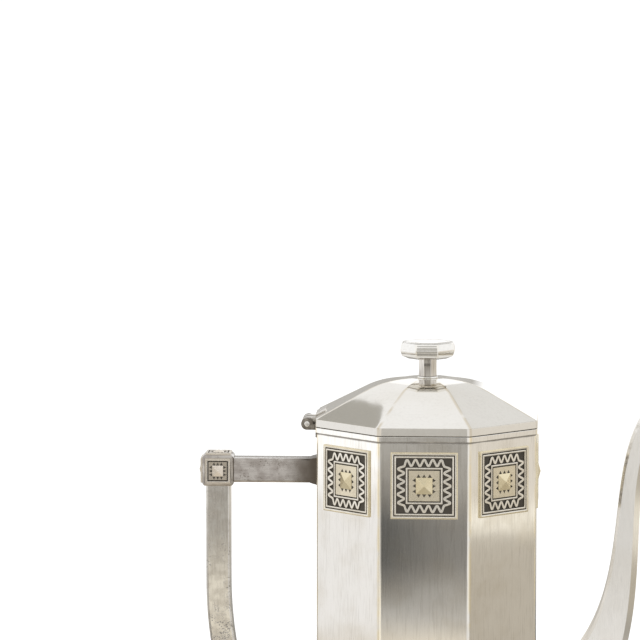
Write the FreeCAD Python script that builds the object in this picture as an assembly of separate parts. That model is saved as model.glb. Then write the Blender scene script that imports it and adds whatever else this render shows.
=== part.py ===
"""Octagonal silver coffee pot.

A straight eight-sided vessel carries a hinged domed lid with an octagonal knob, a flat-sided
S-curved spout, a handle of square bars with a corner block, and square ornamental plaques.
Millimetres, +Z up. The origin is on the pot's axis at table level, the spout points to +X,
the handle to -X, and the front facet faces -Y.
"""
import FreeCAD, Part
import math
import os

V = FreeCAD.Vector
CENTRE = V(0, 0, 0)
UP = V(0, 0, 1)

# Vessel
BODY_ACROSS = 92.0          # across the flats of the octagon
BODY_HEIGHT = 170.0         # table to the parting line under the lid
BODY_WALL = 1.0
CORNER_RADIUS = 0.6         # softened upright edges
BAND_PROUD = 0.5            # mouth and lid bands stand out of the wall by this much
FOOT_PROUD = 1.0
FOOT_HEIGHT = 4.0
BASE_THICKNESS = 1.2
RIM_HEIGHT = 2.3

# Lid
LID_GAP = 0.3               # dark parting line
LID_BAND_HEIGHT = 3.2
LID_WALL = 1.0
DOME_RISE = 15.6
BEZEL_DEPTH = 5.0           # reach of the inner flange below the parting line
BEZEL_WALL = 0.9
BEZEL_CLEARANCE = 0.4

# Finial
STEM_RING_ACROSS = 8.4
STEM_RING_HEIGHT = 0.9
STEM_ACROSS = 7.5
STEM_HEIGHT = 7.6
KNOB_ACROSS = 22.8
KNOB_SHOULDER = 1.3         # inset of the knob's top edge from its widest line
KNOB_SIDE_HEIGHT = 5.4
KNOB_UNDER_HEIGHT = 1.2
KNOB_UNDER_INSET = 2.6
STUD_RADIUS = 1.5
STUD_FIT = 0.05
STUD_REACH = 6.0            # length of stud inside the stem
STUD_TAIL = 0.8             # stud end below the nut
NUT_ACROSS = 6.0
NUT_HEIGHT = 2.4

# Hinge
HINGE_STANDOFF = 4.1        # hinge axis outside the lid band
HINGE_WIDTH = 16.0
KNUCKLE_RADIUS = 2.5
KNUCKLE_COUNT = 5
KNUCKLE_GAP = 0.16
LUG_GAP = 0.15              # each lug stops this far from the hinge's level
PIN_RADIUS = 1.2
PIN_PRESS_FIT = 0.02
PIN_RUNNING_FIT = 0.06
PIN_PROUD = 0.35
LEAF_THICKNESS = 0.5
LEAF_DROP = 3.4             # body leaf below the mouth band
LEAF_STRAP = 3.6            # lid leaf over the dome panel

# Spout
SPOUT_WALL = 0.9
SPOUT_ROOT_HEIGHT = 39.0    # centre of the root on the wall
SPOUT_TIP_RISE = 9.2        # end of the centre line above the parting line
SPOUT_REACH = 54.5          # end of the centre line out from the wall
SPOUT_LOW_PULL_OUT = 58.4   # lower handle of the S-curve, from the root
SPOUT_LOW_PULL_UP = 41.8
SPOUT_HIGH_PULL_BACK = 31.0  # upper handle of the S-curve, from the tip
SPOUT_HIGH_PULL_DOWN = 28.3
SPOUT_MOUTH_DROP = 3.7      # level cut of the mouth below the end of the centre line
SPOUT_ROOT_DEPTH = 36.0
SPOUT_TIP_DEPTH = 8.6
SPOUT_DEPTH_POWER = 3.6     # how fast the depth narrows from the root
SPOUT_ROOT_BREADTH = 25.0
SPOUT_TIP_BREADTH = 9.6
SPOUT_BREADTH_POWER = 1.7
SPOUT_INNER_CHAMFER = 1.1
SPOUT_OUTER_CHAMFER = 2.5
SPOUT_SECTIONS = 9
SPOUT_ROOT_RUN = 0.1        # share of the curve that runs on inside the wall before trimming

# Handle
HANDLE_BAR = 10.2
BAR_CHAMFER = 0.8
HANDLE_REACH = 42.4         # wall to the centre of the grip
BLOCK_SIZE = 13.2
BLOCK_CHAMFER = 0.9
GRIP_STRAIGHT = 40.2        # block to the start of the bend
HEEL_RADIUS = 30.5
HANDLE_LOW_HEIGHT = 14.0    # centre of the lower end on the wall
FLARE_LENGTH = 3.6
FLARE_GROWTH = 0.9

# Wall plaques
ORNAMENT_DROP = 20.4        # parting line to the centre of plaques and upper bar
PLAQUE_SIZE = 27.9
PLAQUE_BASE = 0.3
PLAQUE_RELIEF = 0.8         # top of the raised lines above the wall
BORDER_WIDTH = 0.8
GROOVE_WIDTH = 0.7
FRAME_WIDTH = 0.8
ZIGZAG_BAND = 4.0
INNER_FRAME_WIDTH = 0.75
INNER_GROOVE = 0.5
FIELD_RELIEF = 0.7          # top of the central field above the wall
PYRAMID_SIZE = 7.0
PYRAMID_HEIGHT = 1.1
ZIGZAG_TEETH = 4            # along each side of the band
ZIGZAG_WIDTH = 0.8
ZIGZAG_CLEAR = 0.1          # between the zigzag and the frames beside it
TOOTH_COUNT = 3             # dark notches along each side of a pyramid
TOOTH_WIDTH = 1.3
TOOTH_LENGTH = 1.1
TOOTH_DEPTH = 0.25

# Corner block plaques
BLOCK_BORDER_WIDTH = 0.7
BLOCK_GROOVE_WIDTH = 0.75
BLOCK_MARGIN = 0.4          # bare edge of the block around its plaque
BLOCK_PYRAMID_SIZE = 5.4
BLOCK_PYRAMID_HEIGHT = 0.9
BLOCK_TOOTH_WIDTH = 1.1



def arch_height(half, rise, distance):
    """Height of a circular arch above its springing, at a distance from its middle."""
    radius = (half * half + rise * rise) / (2 * rise)
    return math.sqrt(radius * radius - distance * distance) - radius + rise


# Levels and sizes worked out from the driving dimensions
WALL_X = BODY_ACROSS / 2
INSIDE_ACROSS = BODY_ACROSS - 2 * BODY_WALL
BAND_ACROSS = BODY_ACROSS + 2 * BAND_PROUD
RIM_LOW = BODY_HEIGHT - RIM_HEIGHT
LID_LOW = BODY_HEIGHT + LID_GAP
DOME_LOW = LID_LOW + LID_BAND_HEIGHT
FINIAL_LOW = DOME_LOW + arch_height(BAND_ACROSS / 2, DOME_RISE, STEM_RING_ACROSS / 2)
BEZEL_ACROSS = INSIDE_ACROSS - 2 * BEZEL_CLEARANCE
ORNAMENT_HEIGHT = BODY_HEIGHT - ORNAMENT_DROP
HINGE_X = -BAND_ACROSS / 2 - HINGE_STANDOFF
HINGE_Z = BODY_HEIGHT
GRIP_X = -WALL_X - HANDLE_REACH
BLOCK_PLAQUE_SIZE = BLOCK_SIZE - 2 * (BLOCK_CHAMFER + BLOCK_MARGIN)
FIELD_SIZE = PLAQUE_SIZE - 2 * (BORDER_WIDTH + GROOVE_WIDTH + FRAME_WIDTH + ZIGZAG_BAND
                                + INNER_FRAME_WIDTH + INNER_GROOVE)
INNER_FRAME_HALF = FIELD_SIZE / 2 + INNER_GROOVE + INNER_FRAME_WIDTH
ZIGZAG_PITCH = (2 * (INNER_FRAME_HALF - ZIGZAG_CLEAR) - ZIGZAG_WIDTH) / ZIGZAG_TEETH
FACET_ANGLES = {
    "front": 270,
    "front_right": 315,
    "spout_side": 0,
    "back_right": 45,
    "back": 90,
    "back_left": 135,
    "front_left": 225,
}


def octagon(across, low, high):
    """Octagonal prism with a flat facing each axis."""
    radius = across / 2 / math.cos(math.pi / 8)
    angles = [(step + 0.5) * math.pi / 4 for step in range(9)]
    corners = [V(radius * math.cos(a), radius * math.sin(a), low) for a in angles]
    return Part.Face(Part.makePolygon(corners)).extrude(V(0, 0, high - low))


def softened_octagon(across, low, high):
    """Octagonal prism with rounded upright edges."""
    prism = octagon(across, low, high)
    upright = [edge for edge in prism.Edges if edge.BoundBox.ZLength > (high - low) / 2]
    return prism.makeFillet(CORNER_RADIUS, upright)


def octagon_band(outer, inner, low, high):
    """Octagonal ring, rounded on its outer corners."""
    return softened_octagon(outer, low, high).cut(octagon(inner, low, high))


def crossed(bar):
    """What a bar along Y shares with its copies turned by each eighth of a turn."""
    shared = bar
    for turn in (45, 90, 135):
        crossing = bar.copy()
        crossing.rotate(CENTRE, UP, turn)
        shared = shared.common(crossing)
    return shared


def vault(across, rise, low):
    """Eight-panelled dome: four tunnels on the same arch, crossing at 45 degrees."""
    half = across / 2
    start = V(-half, -across, low)
    end = V(half, -across, low)
    arch = Part.Arc(start, V(0, -across, low + rise), end).toShape()
    section = Part.Face(Part.Wire([arch, Part.makeLine(end, start)]))
    return crossed(section.extrude(V(0, 2 * across, 0)))


def upright_rod(radius, low, high):
    """Round rod on the pot's axis."""
    return Part.makeCylinder(radius, high - low, V(0, 0, low))


def hinge_rod(radius, start, end):
    """Round rod on the hinge axis between two places along Y."""
    return Part.makeCylinder(radius, end - start, V(HINGE_X, start, HINGE_Z), V(0, 1, 0))


def side_prism(points, width):
    """Extrusion along Y of a closed outline of (x, z) points, centred on the pot's plane."""
    corners = [V(x, -width / 2, z) for x, z in points]
    return Part.Face(Part.makePolygon(corners + corners[:1])).extrude(V(0, width, 0))


def box_between(low, high):
    """Box between two opposite corners."""
    size = high - low
    return Part.makeBox(size.x, size.y, size.z, low)


def facing_box(size, low, high):
    """Square slab that faces +X, centred on the X axis."""
    return box_between(V(low, -size / 2, -size / 2), V(high, size / 2, size / 2))


def facing_frame(outer, width, low, high):
    """Square picture frame that faces +X."""
    return facing_box(outer, low, high).cut(facing_box(outer - 2 * width, low, high))


def make_vessel(bore):
    """Walls, base, foot and mouth band.

    Args:
        bore: solid of the spout's bore, which pierces the wall.
    """
    foot_across = BODY_ACROSS + 2 * FOOT_PROUD
    return {
        "body_walls": octagon_band(BODY_ACROSS, INSIDE_ACROSS, 0, RIM_LOW).cut(bore),
        "base_plate": octagon(INSIDE_ACROSS, 0, BASE_THICKNESS),
        "foot_band": octagon_band(foot_across, BODY_ACROSS, 0, FOOT_HEIGHT),
        "mouth_rim": octagon_band(BAND_ACROSS, INSIDE_ACROSS, RIM_LOW, BODY_HEIGHT),
    }


def spout_poles():
    """The four control points, as (x, z), of the spout's S-curved centre line."""
    tip_x = WALL_X + SPOUT_REACH
    tip_z = BODY_HEIGHT + SPOUT_TIP_RISE
    return [
        V(WALL_X, 0, SPOUT_ROOT_HEIGHT),
        V(WALL_X + SPOUT_LOW_PULL_OUT, 0, SPOUT_ROOT_HEIGHT + SPOUT_LOW_PULL_UP),
        V(tip_x - SPOUT_HIGH_PULL_BACK, 0, tip_z - SPOUT_HIGH_PULL_DOWN),
        V(tip_x, 0, tip_z),
    ]


def spout_place(share):
    """Point and direction of the centre line at a share of its run."""
    p0, p1, p2, p3 = spout_poles()
    rest = 1 - share
    point = p0 * rest**3 + p1 * (3 * share * rest**2) + p2 * (3 * share**2 * rest) + p3 * share**3
    run = (p1 - p0) * rest**2 + (p2 - p1) * (2 * share * rest) + (p3 - p2) * share**2
    return point, run.normalize()


def spout_size(share):
    """Depth and breadth of the spout at a share of its run."""
    rest = 1 - share
    depth = SPOUT_TIP_DEPTH + (SPOUT_ROOT_DEPTH - SPOUT_TIP_DEPTH) * rest**SPOUT_DEPTH_POWER
    breadth = SPOUT_TIP_BREADTH + (SPOUT_ROOT_BREADTH - SPOUT_TIP_BREADTH) * rest**SPOUT_BREADTH_POWER
    return depth, breadth


def across_spout(share, outline):
    """Closed outline across the spout, from pairs of reach towards the vessel and place along Y."""
    point, along = spout_place(share)
    inwards = V(-along.z, 0, along.x)
    corners = [point + inwards * reach + V(0, side, 0) for reach, side in outline]
    return Part.makePolygon(corners + corners[:1])


def spout_section(share, inset):
    """Flat-sided eight-cornered outline across the spout, drawn in by an inset."""
    depth, breadth = spout_size(share)
    across = depth / 2 - inset
    aside = breadth / 2 - inset
    corner_loss = inset * (2 - math.sqrt(2))
    near = SPOUT_INNER_CHAMFER - corner_loss
    far = SPOUT_OUTER_CHAMFER - corner_loss
    half = [(across, aside - near), (across - near, aside), (far - across, aside), (-across, aside - far)]
    return across_spout(share, half + [(reach, -side) for reach, side in reversed(half)])


def side_section(share, way):
    """Outline that takes in one flat side of the spout: the front for way -1, the back for way 1."""
    depth, breadth = spout_size(share)
    near = depth / 2 - SPOUT_INNER_CHAMFER
    far = SPOUT_OUTER_CHAMFER - depth / 2
    return across_spout(share, [(near, 0), (near, way * breadth), (far, way * breadth), (far, 0)])


def spout_loft(section, setting):
    """Smooth solid through one kind of section, from inside the wall to the end of the centre line."""
    step = (1 + SPOUT_ROOT_RUN) / (SPOUT_SECTIONS - 1)
    shares = [index * step - SPOUT_ROOT_RUN for index in range(SPOUT_SECTIONS)]
    return Part.makeLoft([section(share, setting) for share in shares], True, False)


def make_spout(bore):
    """Hollow spout of two side sheets and two strips, seated on the +X facet and cut level at its mouth."""
    mouth = BODY_HEIGHT + SPOUT_TIP_RISE - SPOUT_MOUTH_DROP
    far = WALL_X + SPOUT_REACH + SPOUT_ROOT_DEPTH
    above = box_between(V(WALL_X, -far, mouth), V(far, far, mouth + SPOUT_ROOT_DEPTH))
    shell = spout_loft(spout_section, 0).cut(bore).cut(octagon(BODY_ACROSS, 0, BODY_HEIGHT)).cut(above)
    front = spout_loft(side_section, -1)
    back = spout_loft(side_section, 1)
    strips = sorted(shell.cut(front).cut(back).Solids, key=lambda strip: strip.CenterOfMass.x)
    return {
        "spout_front_side": shell.common(front),
        "spout_back_side": shell.common(back),
        "spout_inner_strip": strips[0],
        "spout_outer_strip": strips[1],
    }


def make_lid():
    """Dome, band and inner flange of the lid."""
    crest = box_between(V(-WALL_X, -WALL_X, FINIAL_LOW), V(WALL_X, WALL_X, FINIAL_LOW + DOME_RISE))
    dome = vault(BAND_ACROSS, DOME_RISE, DOME_LOW)
    dome = dome.cut(vault(BAND_ACROSS - 2 * LID_WALL, DOME_RISE - LID_WALL, DOME_LOW))
    dome = dome.cut(crest).cut(upright_rod(STUD_RADIUS + STUD_FIT, DOME_LOW, FINIAL_LOW))
    inner = BEZEL_ACROSS - 2 * BEZEL_WALL
    bezel = octagon(BEZEL_ACROSS, BODY_HEIGHT - BEZEL_DEPTH, DOME_LOW)
    return {
        "lid_dome": dome,
        "lid_band": octagon_band(BAND_ACROSS, BEZEL_ACROSS, LID_LOW, DOME_LOW),
        "lid_bezel": bezel.cut(octagon(inner, BODY_HEIGHT - BEZEL_DEPTH, DOME_LOW)),
    }


def knob_solid(low):
    """Octagonal button with bowed sides and a bevelled underside."""
    half = KNOB_ACROSS / 2
    shoulder = half - KNOB_SHOULDER
    under = shoulder - KNOB_UNDER_INSET
    bottom = low + KNOB_UNDER_HEIGHT
    top = bottom + KNOB_SIDE_HEIGHT
    middle = (bottom + top) / 2
    back = -KNOB_ACROSS

    def at(x, z):
        return V(x, back, z)

    edges = [
        Part.makeLine(at(-under, low), at(under, low)),
        Part.makeLine(at(under, low), at(shoulder, bottom)),
        Part.Arc(at(shoulder, bottom), at(half, middle), at(shoulder, top)).toShape(),
        Part.makeLine(at(shoulder, top), at(-shoulder, top)),
        Part.Arc(at(-shoulder, top), at(-half, middle), at(-shoulder, bottom)).toShape(),
        Part.makeLine(at(-shoulder, bottom), at(-under, low)),
    ]
    return crossed(Part.Face(Part.Wire(edges)).extrude(V(0, 2 * KNOB_ACROSS, 0)))


def make_finial():
    """Knob, stem and ring, held through the lid by a stud and nut."""
    stem_low = FINIAL_LOW + STEM_RING_HEIGHT
    knob_low = stem_low + STEM_HEIGHT
    stud_top = stem_low + STUD_REACH
    inner_half = BAND_ACROSS / 2 - LID_WALL
    nut_corner = NUT_ACROSS / 2 / math.cos(math.pi / 6)
    nut_top = DOME_LOW + arch_height(inner_half, DOME_RISE - LID_WALL, nut_corner)
    nut_low = nut_top - NUT_HEIGHT
    hole = upright_rod(STUD_RADIUS + STUD_FIT, nut_low, stud_top)
    corners = [V(nut_corner * math.cos(k * math.pi / 3), nut_corner * math.sin(k * math.pi / 3), nut_low)
               for k in range(7)]
    nut = Part.Face(Part.makePolygon(corners)).extrude(V(0, 0, NUT_HEIGHT))
    return {
        "finial_ring": octagon(STEM_RING_ACROSS, FINIAL_LOW, stem_low).cut(hole),
        "finial_stem": octagon(STEM_ACROSS, stem_low, knob_low).cut(hole),
        "finial_knob": knob_solid(knob_low),
        "finial_stud": upright_rod(STUD_RADIUS, nut_low - STUD_TAIL, stud_top),
        "finial_nut": nut.cut(hole),
    }


def knuckle_spans():
    """Start and end along Y of each knuckle, from the front."""
    pitch = HINGE_WIDTH / KNUCKLE_COUNT
    starts = [index * pitch - HINGE_WIDTH / 2 for index in range(KNUCKLE_COUNT)]
    return [(start + KNUCKLE_GAP / 2, start + pitch - KNUCKLE_GAP / 2) for start in starts]


def knuckle(span, lug_low, lug_high, pin_fit):
    """One knuckle with the lug that joins it to its leaf."""
    start, end = span
    plate_face = -BAND_ACROSS / 2 - LEAF_THICKNESS
    lug = box_between(V(HINGE_X, start, lug_low), V(plate_face, end, lug_high))
    barrel = hinge_rod(KNUCKLE_RADIUS, start, end).fuse(lug)
    return barrel.cut(hinge_rod(PIN_RADIUS + pin_fit, start, end))


def make_hinge(lid_outside, vessel_outside):
    """Body leaf, lid leaf and pin.

    Args:
        lid_outside: filled outside form of the lid, on which the lid leaf is seated.
        vessel_outside: filled outside form of the vessel, on which the body leaf is seated.
    """
    band_face = -BAND_ACROSS / 2
    plate_face = band_face - LEAF_THICKNESS
    spans = knuckle_spans()
    lug_low = HINGE_Z - KNUCKLE_RADIUS
    lug_high = HINGE_Z + KNUCKLE_RADIUS

    leaf_low = RIM_LOW - LEAF_DROP
    body_plate = box_between(V(plate_face, -HINGE_WIDTH / 2, leaf_low),
                             V(-WALL_X, HINGE_WIDTH / 2, HINGE_Z - LUG_GAP))
    body_leaf = body_plate.cut(vessel_outside)
    for span in spans[0::2]:
        body_leaf = body_leaf.fuse(knuckle(span, lug_low, HINGE_Z - LUG_GAP, PIN_PRESS_FIT))

    half = BAND_ACROSS / 2
    strap_end = band_face + LEAF_STRAP
    strap_rise = DOME_LOW + arch_height(half, DOME_RISE, -strap_end)
    lid_low = LID_LOW + LUG_GAP
    outline = [
        (plate_face, lid_low),
        (band_face, lid_low),
        (band_face, DOME_LOW),
        (strap_end, strap_rise),
        (strap_end, strap_rise + LEAF_THICKNESS),
        (plate_face, DOME_LOW + LEAF_THICKNESS),
    ]
    lid_leaf = side_prism(outline, HINGE_WIDTH).cut(lid_outside)
    for span in spans[1::2]:
        lid_leaf = lid_leaf.fuse(knuckle(span, lid_low, lug_high, PIN_RUNNING_FIT))
    pin_end = HINGE_WIDTH / 2 + PIN_PROUD
    return {
        "hinge_body_leaf": body_leaf.removeSplitter(),
        "hinge_lid_leaf": lid_leaf.removeSplitter(),
        "hinge_pin": hinge_rod(PIN_RADIUS, -pin_end, pin_end),
    }


def flared_end(height):
    """Square flare that spreads a handle bar onto the wall."""
    small = HANDLE_BAR / 2
    large = small + FLARE_GROWTH
    outlines = []
    for x, half in ((-WALL_X - FLARE_LENGTH, small), (-WALL_X, large)):
        corners = [V(x, half, height + half), V(x, -half, height + half),
                   V(x, -half, height - half), V(x, half, height - half)]
        outlines.append(Part.makePolygon(corners + corners[:1]))
    return Part.makeLoft(outlines, True, True)


def handle_grip():
    """Upright grip that bends inwards through a long and a short arc to the wall."""
    half = HANDLE_BAR / 2
    top = ORNAMENT_HEIGHT - BLOCK_SIZE / 2
    bend = top - GRIP_STRAIGHT
    drop = bend - HANDLE_LOW_HEIGHT
    spare = drop - HEEL_RADIUS
    slack = HANDLE_REACH - HEEL_RADIUS
    sweep_radius = (spare**2 + HANDLE_REACH**2 - HEEL_RADIUS**2) / (2 * slack)
    sweep_centre = V(GRIP_X + sweep_radius, 0, bend)
    heel_centre = V(-WALL_X, 0, HANDLE_LOW_HEIGHT + HEEL_RADIUS)
    joint_way = (heel_centre - sweep_centre).normalize()
    sweep_middle = (joint_way + V(-1, 0, 0)).normalize()
    heel_middle = (joint_way + V(0, 0, -1)).normalize()

    def side(shift):
        """Line and two arcs of one side of the bar, from the top to the wall."""
        sweep = sweep_radius + shift
        heel = HEEL_RADIUS + shift
        start = V(GRIP_X - shift, -half, top)
        begin = V(GRIP_X - shift, -half, bend)
        lift = V(0, -half, 0)
        joint = sweep_centre + joint_way * sweep + lift
        end = heel_centre + V(0, 0, -heel) + lift
        first = Part.Arc(begin, sweep_centre + sweep_middle * sweep + lift, joint).toShape()
        second = Part.Arc(joint, heel_centre + heel_middle * heel + lift, end).toShape()
        return start, end, [Part.makeLine(start, begin), first, second]

    outer_start, outer_end, outer_edges = side(half)
    inner_start, inner_end, inner_edges = side(-half)
    ends = [Part.makeLine(outer_end, inner_end), Part.makeLine(inner_start, outer_start)]
    outline = Part.Wire(Part.__sortEdges__(outer_edges + inner_edges + ends))
    bar = Part.Face(outline).extrude(V(0, HANDLE_BAR, 0))
    long_edges = [edge for edge in bar.Edges if edge.Length > HANDLE_BAR + BAR_CHAMFER]
    return bar.makeChamfer(BAR_CHAMFER, long_edges).fuse(flared_end(HANDLE_LOW_HEIGHT)).removeSplitter()


def make_handle():
    """Upper bar, corner block and grip."""
    half = HANDLE_BAR / 2
    block_face = GRIP_X + BLOCK_SIZE / 2
    bar = box_between(V(block_face, -half, ORNAMENT_HEIGHT - half), V(-WALL_X, half, ORNAMENT_HEIGHT + half))
    bar = bar.makeChamfer(BAR_CHAMFER, [edge for edge in bar.Edges if edge.BoundBox.XLength > HANDLE_BAR])
    size = BLOCK_SIZE / 2
    middle = V(GRIP_X, 0, ORNAMENT_HEIGHT)
    block = box_between(middle - V(size, size, size), middle + V(size, size, size))
    return {
        "handle_upper_bar": bar.fuse(flared_end(ORNAMENT_HEIGHT)).removeSplitter(),
        "handle_corner_block": block.makeChamfer(BLOCK_CHAMFER, block.Edges),
        "handle_grip": handle_grip(),
    }


def pyramid(size, height, base):
    """Low square pyramid that faces +X."""
    half = size / 2
    apex = V(base + height, 0, 0)
    corners = [V(base, -half, -half), V(base, half, -half), V(base, half, half), V(base, -half, half)]
    faces = [Part.Face(Part.makePolygon(corners + corners[:1]))]
    for index, corner in enumerate(corners):
        following = corners[(index + 1) % 4]
        faces.append(Part.Face(Part.makePolygon([corner, following, apex, corner])))
    return Part.Solid(Part.Shell(faces))


def notches(pyramid_size, width, surface):
    """Triangular pits round a pyramid, pointing away from its sides."""
    pitch = pyramid_size / TOOTH_COUNT
    edge = pyramid_size / 2
    pits = []
    for index in range(TOOTH_COUNT):
        middle = (index - (TOOTH_COUNT - 1) / 2) * pitch
        corners = [V(surface - TOOTH_DEPTH, middle - width / 2, edge),
                   V(surface - TOOTH_DEPTH, middle + width / 2, edge),
                   V(surface - TOOTH_DEPTH, middle, edge + TOOTH_LENGTH)]
        pit = Part.Face(Part.makePolygon(corners + corners[:1])).extrude(V(TOOTH_DEPTH, 0, 0))
        for turn in (0, 90, 180, 270):
            turned = pit.copy()
            turned.rotate(CENTRE, V(1, 0, 0), turn)
            pits.append(turned)
    return Part.makeCompound(pits)


def wall_plaque():
    """Square plaque with raised border, frames and central field, facing +X from the wall."""
    size = PLAQUE_SIZE
    plaque = facing_box(size, 0, PLAQUE_BASE)
    border = facing_frame(size, BORDER_WIDTH, PLAQUE_BASE, PLAQUE_RELIEF)
    size -= 2 * (BORDER_WIDTH + GROOVE_WIDTH)
    frame = facing_frame(size, FRAME_WIDTH, PLAQUE_BASE, PLAQUE_RELIEF)
    size -= 2 * (FRAME_WIDTH + ZIGZAG_BAND)
    inner_frame = facing_frame(size, INNER_FRAME_WIDTH, PLAQUE_BASE, PLAQUE_RELIEF)
    field = facing_box(FIELD_SIZE, PLAQUE_BASE, FIELD_RELIEF)
    plaque = plaque.multiFuse([border, frame, inner_frame, field]).removeSplitter()
    return plaque.cut(notches(PYRAMID_SIZE, TOOTH_WIDTH, FIELD_RELIEF))


def offset_corner(before, corner, after, shift):
    """Corner of a line drawn beside a polygon at a distance to its left."""
    first = (corner - before).normalize()
    second = (after - corner).normalize()
    left_first = V(0, -first.z, first.y)
    left_second = V(0, -second.z, second.y)
    bisector = (left_first + left_second).normalize()
    return corner + bisector * (shift / bisector.dot(left_first))


def zigzag_wire():
    """Flat wire that zigzags round the plaque's band and meets at its inner corners."""
    slope = math.atan2(ZIGZAG_BAND, ZIGZAG_PITCH / 2)
    tip = ZIGZAG_WIDTH / 2 / math.cos(slope) + ZIGZAG_CLEAR
    inner = INNER_FRAME_HALF + tip
    outer = INNER_FRAME_HALF + ZIGZAG_BAND - tip
    corner = INNER_FRAME_HALF + ZIGZAG_CLEAR + ZIGZAG_WIDTH / 2
    points = []
    for turn in range(4):
        side = [(corner, corner)]
        for index in range(2 * ZIGZAG_TEETH + 1):
            along = (ZIGZAG_TEETH - index) * ZIGZAG_PITCH / 2
            side.append((along, outer if index % 2 == 0 else inner))
        angle = turn * math.pi / 2
        for y, z in side:
            points.append(V(PLAQUE_BASE, y * math.cos(angle) - z * math.sin(angle),
                            y * math.sin(angle) + z * math.cos(angle)))
    count = len(points)
    outlines = []
    for shift in (ZIGZAG_WIDTH / 2, -ZIGZAG_WIDTH / 2):
        line = [offset_corner(points[k - 1], points[k], points[(k + 1) % count], shift) for k in range(count)]
        outlines.append(Part.Face(Part.makePolygon(line + line[:1])))
    areas = sorted(outlines, key=lambda face: face.Area)
    rise = V(PLAQUE_RELIEF - PLAQUE_BASE, 0, 0)
    return areas[1].cut(areas[0]).Faces[0].extrude(rise)


def make_wall_plaques():
    """Plaque, zigzag wire and gilt pyramid on each facet that the handle leaves free."""
    pieces = {
        "plaque": wall_plaque(),
        "zigzag": zigzag_wire(),
        "pyramid": pyramid(PYRAMID_SIZE, PYRAMID_HEIGHT, FIELD_RELIEF),
    }
    nodes = {}
    for place, angle in FACET_ANGLES.items():
        for kind, shape in pieces.items():
            piece = shape.copy()
            piece.translate(V(WALL_X, 0, ORNAMENT_HEIGHT))
            piece.rotate(CENTRE, UP, angle)
            nodes[kind + "_" + place] = piece
    return nodes


def block_plaque():
    """Small plaque for a face of the corner block, facing +X."""
    plaque = facing_box(BLOCK_PLAQUE_SIZE, 0, PLAQUE_BASE)
    border = facing_frame(BLOCK_PLAQUE_SIZE, BLOCK_BORDER_WIDTH, PLAQUE_BASE, PLAQUE_RELIEF)
    field_size = BLOCK_PLAQUE_SIZE - 2 * (BLOCK_BORDER_WIDTH + BLOCK_GROOVE_WIDTH)
    field = facing_box(field_size, PLAQUE_BASE, FIELD_RELIEF)
    plaque = plaque.multiFuse([border, field]).removeSplitter()
    return plaque.cut(notches(BLOCK_PYRAMID_SIZE, BLOCK_TOOTH_WIDTH, FIELD_RELIEF))


def make_block_plaques():
    """Plaque and pyramid on the front, back, top and outer faces of the corner block."""
    pieces = {
        "handle_plaque": block_plaque(),
        "handle_pyramid": pyramid(BLOCK_PYRAMID_SIZE, BLOCK_PYRAMID_HEIGHT, FIELD_RELIEF),
    }
    turns = {
        "front": (UP, -90),
        "back": (UP, 90),
        "outer": (UP, 180),
        "top": (V(0, 1, 0), -90),
    }
    nodes = {}
    for place, (axis, angle) in turns.items():
        for kind, shape in pieces.items():
            piece = shape.copy()
            piece.translate(V(BLOCK_SIZE / 2, 0, 0))
            piece.rotate(CENTRE, axis, angle)
            piece.translate(V(GRIP_X, 0, ORNAMENT_HEIGHT))
            nodes[kind + "_" + place] = piece
    return nodes


def main():
    """Build every piece and write each to its own file."""
    bore = spout_loft(spout_section, SPOUT_WALL)
    vessel_outside = octagon(BODY_ACROSS, 0, RIM_LOW).fuse(octagon(BAND_ACROSS, RIM_LOW, BODY_HEIGHT))
    lid_outside = octagon(BAND_ACROSS, LID_LOW, DOME_LOW).fuse(vault(BAND_ACROSS, DOME_RISE, DOME_LOW))
    nodes = {}
    nodes.update(make_vessel(bore))
    nodes.update(make_spout(bore))
    nodes.update(make_lid())
    nodes.update(make_finial())
    nodes.update(make_hinge(lid_outside, vessel_outside))
    nodes.update(make_handle())
    nodes.update(make_wall_plaques())
    nodes.update(make_block_plaques())
    os.makedirs("parts", exist_ok=True)
    for name, shape in nodes.items():
        shape.exportStep(os.path.join("parts", name + ".step"))
        print(name, shape.ShapeType, len(shape.Solids), round(shape.Volume, 2), shape.isValid())


main()
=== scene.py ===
"""Looks of the eight-sided silver coffee pot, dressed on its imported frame."""
import logging
import math
from dataclasses import dataclass
from enum import Enum
from typing import Sequence

import bmesh
import bpy
from bpy.types import ID, Material, Mesh, Node, NodeOutputs, NodeSocket, NodeTree, Object, bpy_prop_collection
from mathutils import Matrix, Vector
from mathutils.geometry import delaunay_2d_cdt


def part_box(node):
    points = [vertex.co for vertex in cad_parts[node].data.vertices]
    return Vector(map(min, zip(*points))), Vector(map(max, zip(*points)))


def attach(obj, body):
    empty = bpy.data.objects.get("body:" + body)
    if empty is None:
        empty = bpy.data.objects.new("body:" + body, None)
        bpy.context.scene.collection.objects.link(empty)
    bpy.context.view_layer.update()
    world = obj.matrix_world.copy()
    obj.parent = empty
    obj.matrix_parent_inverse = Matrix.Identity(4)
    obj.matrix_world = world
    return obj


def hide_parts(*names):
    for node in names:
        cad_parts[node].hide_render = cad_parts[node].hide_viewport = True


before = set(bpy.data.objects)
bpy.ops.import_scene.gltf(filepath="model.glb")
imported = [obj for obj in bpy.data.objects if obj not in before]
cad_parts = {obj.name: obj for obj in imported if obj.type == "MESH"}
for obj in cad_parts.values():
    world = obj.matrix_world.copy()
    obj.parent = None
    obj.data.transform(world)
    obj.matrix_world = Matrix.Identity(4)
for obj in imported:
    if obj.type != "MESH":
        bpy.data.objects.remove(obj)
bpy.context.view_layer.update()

LOG = logging.getLogger("coffee_pot")
MM = 0.001
CORNER_SHARPNESS = 200.0
ARC_STEPS = 4
EDGE_HOLD = 1.3
BEVEL_STEPS = 3
BEVEL_ROUNDNESS = 0.6
MERGE = 0.003 * MM
FLAT_ANGLE = math.radians(1.0)
SHARP_ANGLE = math.radians(35.0)
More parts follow.
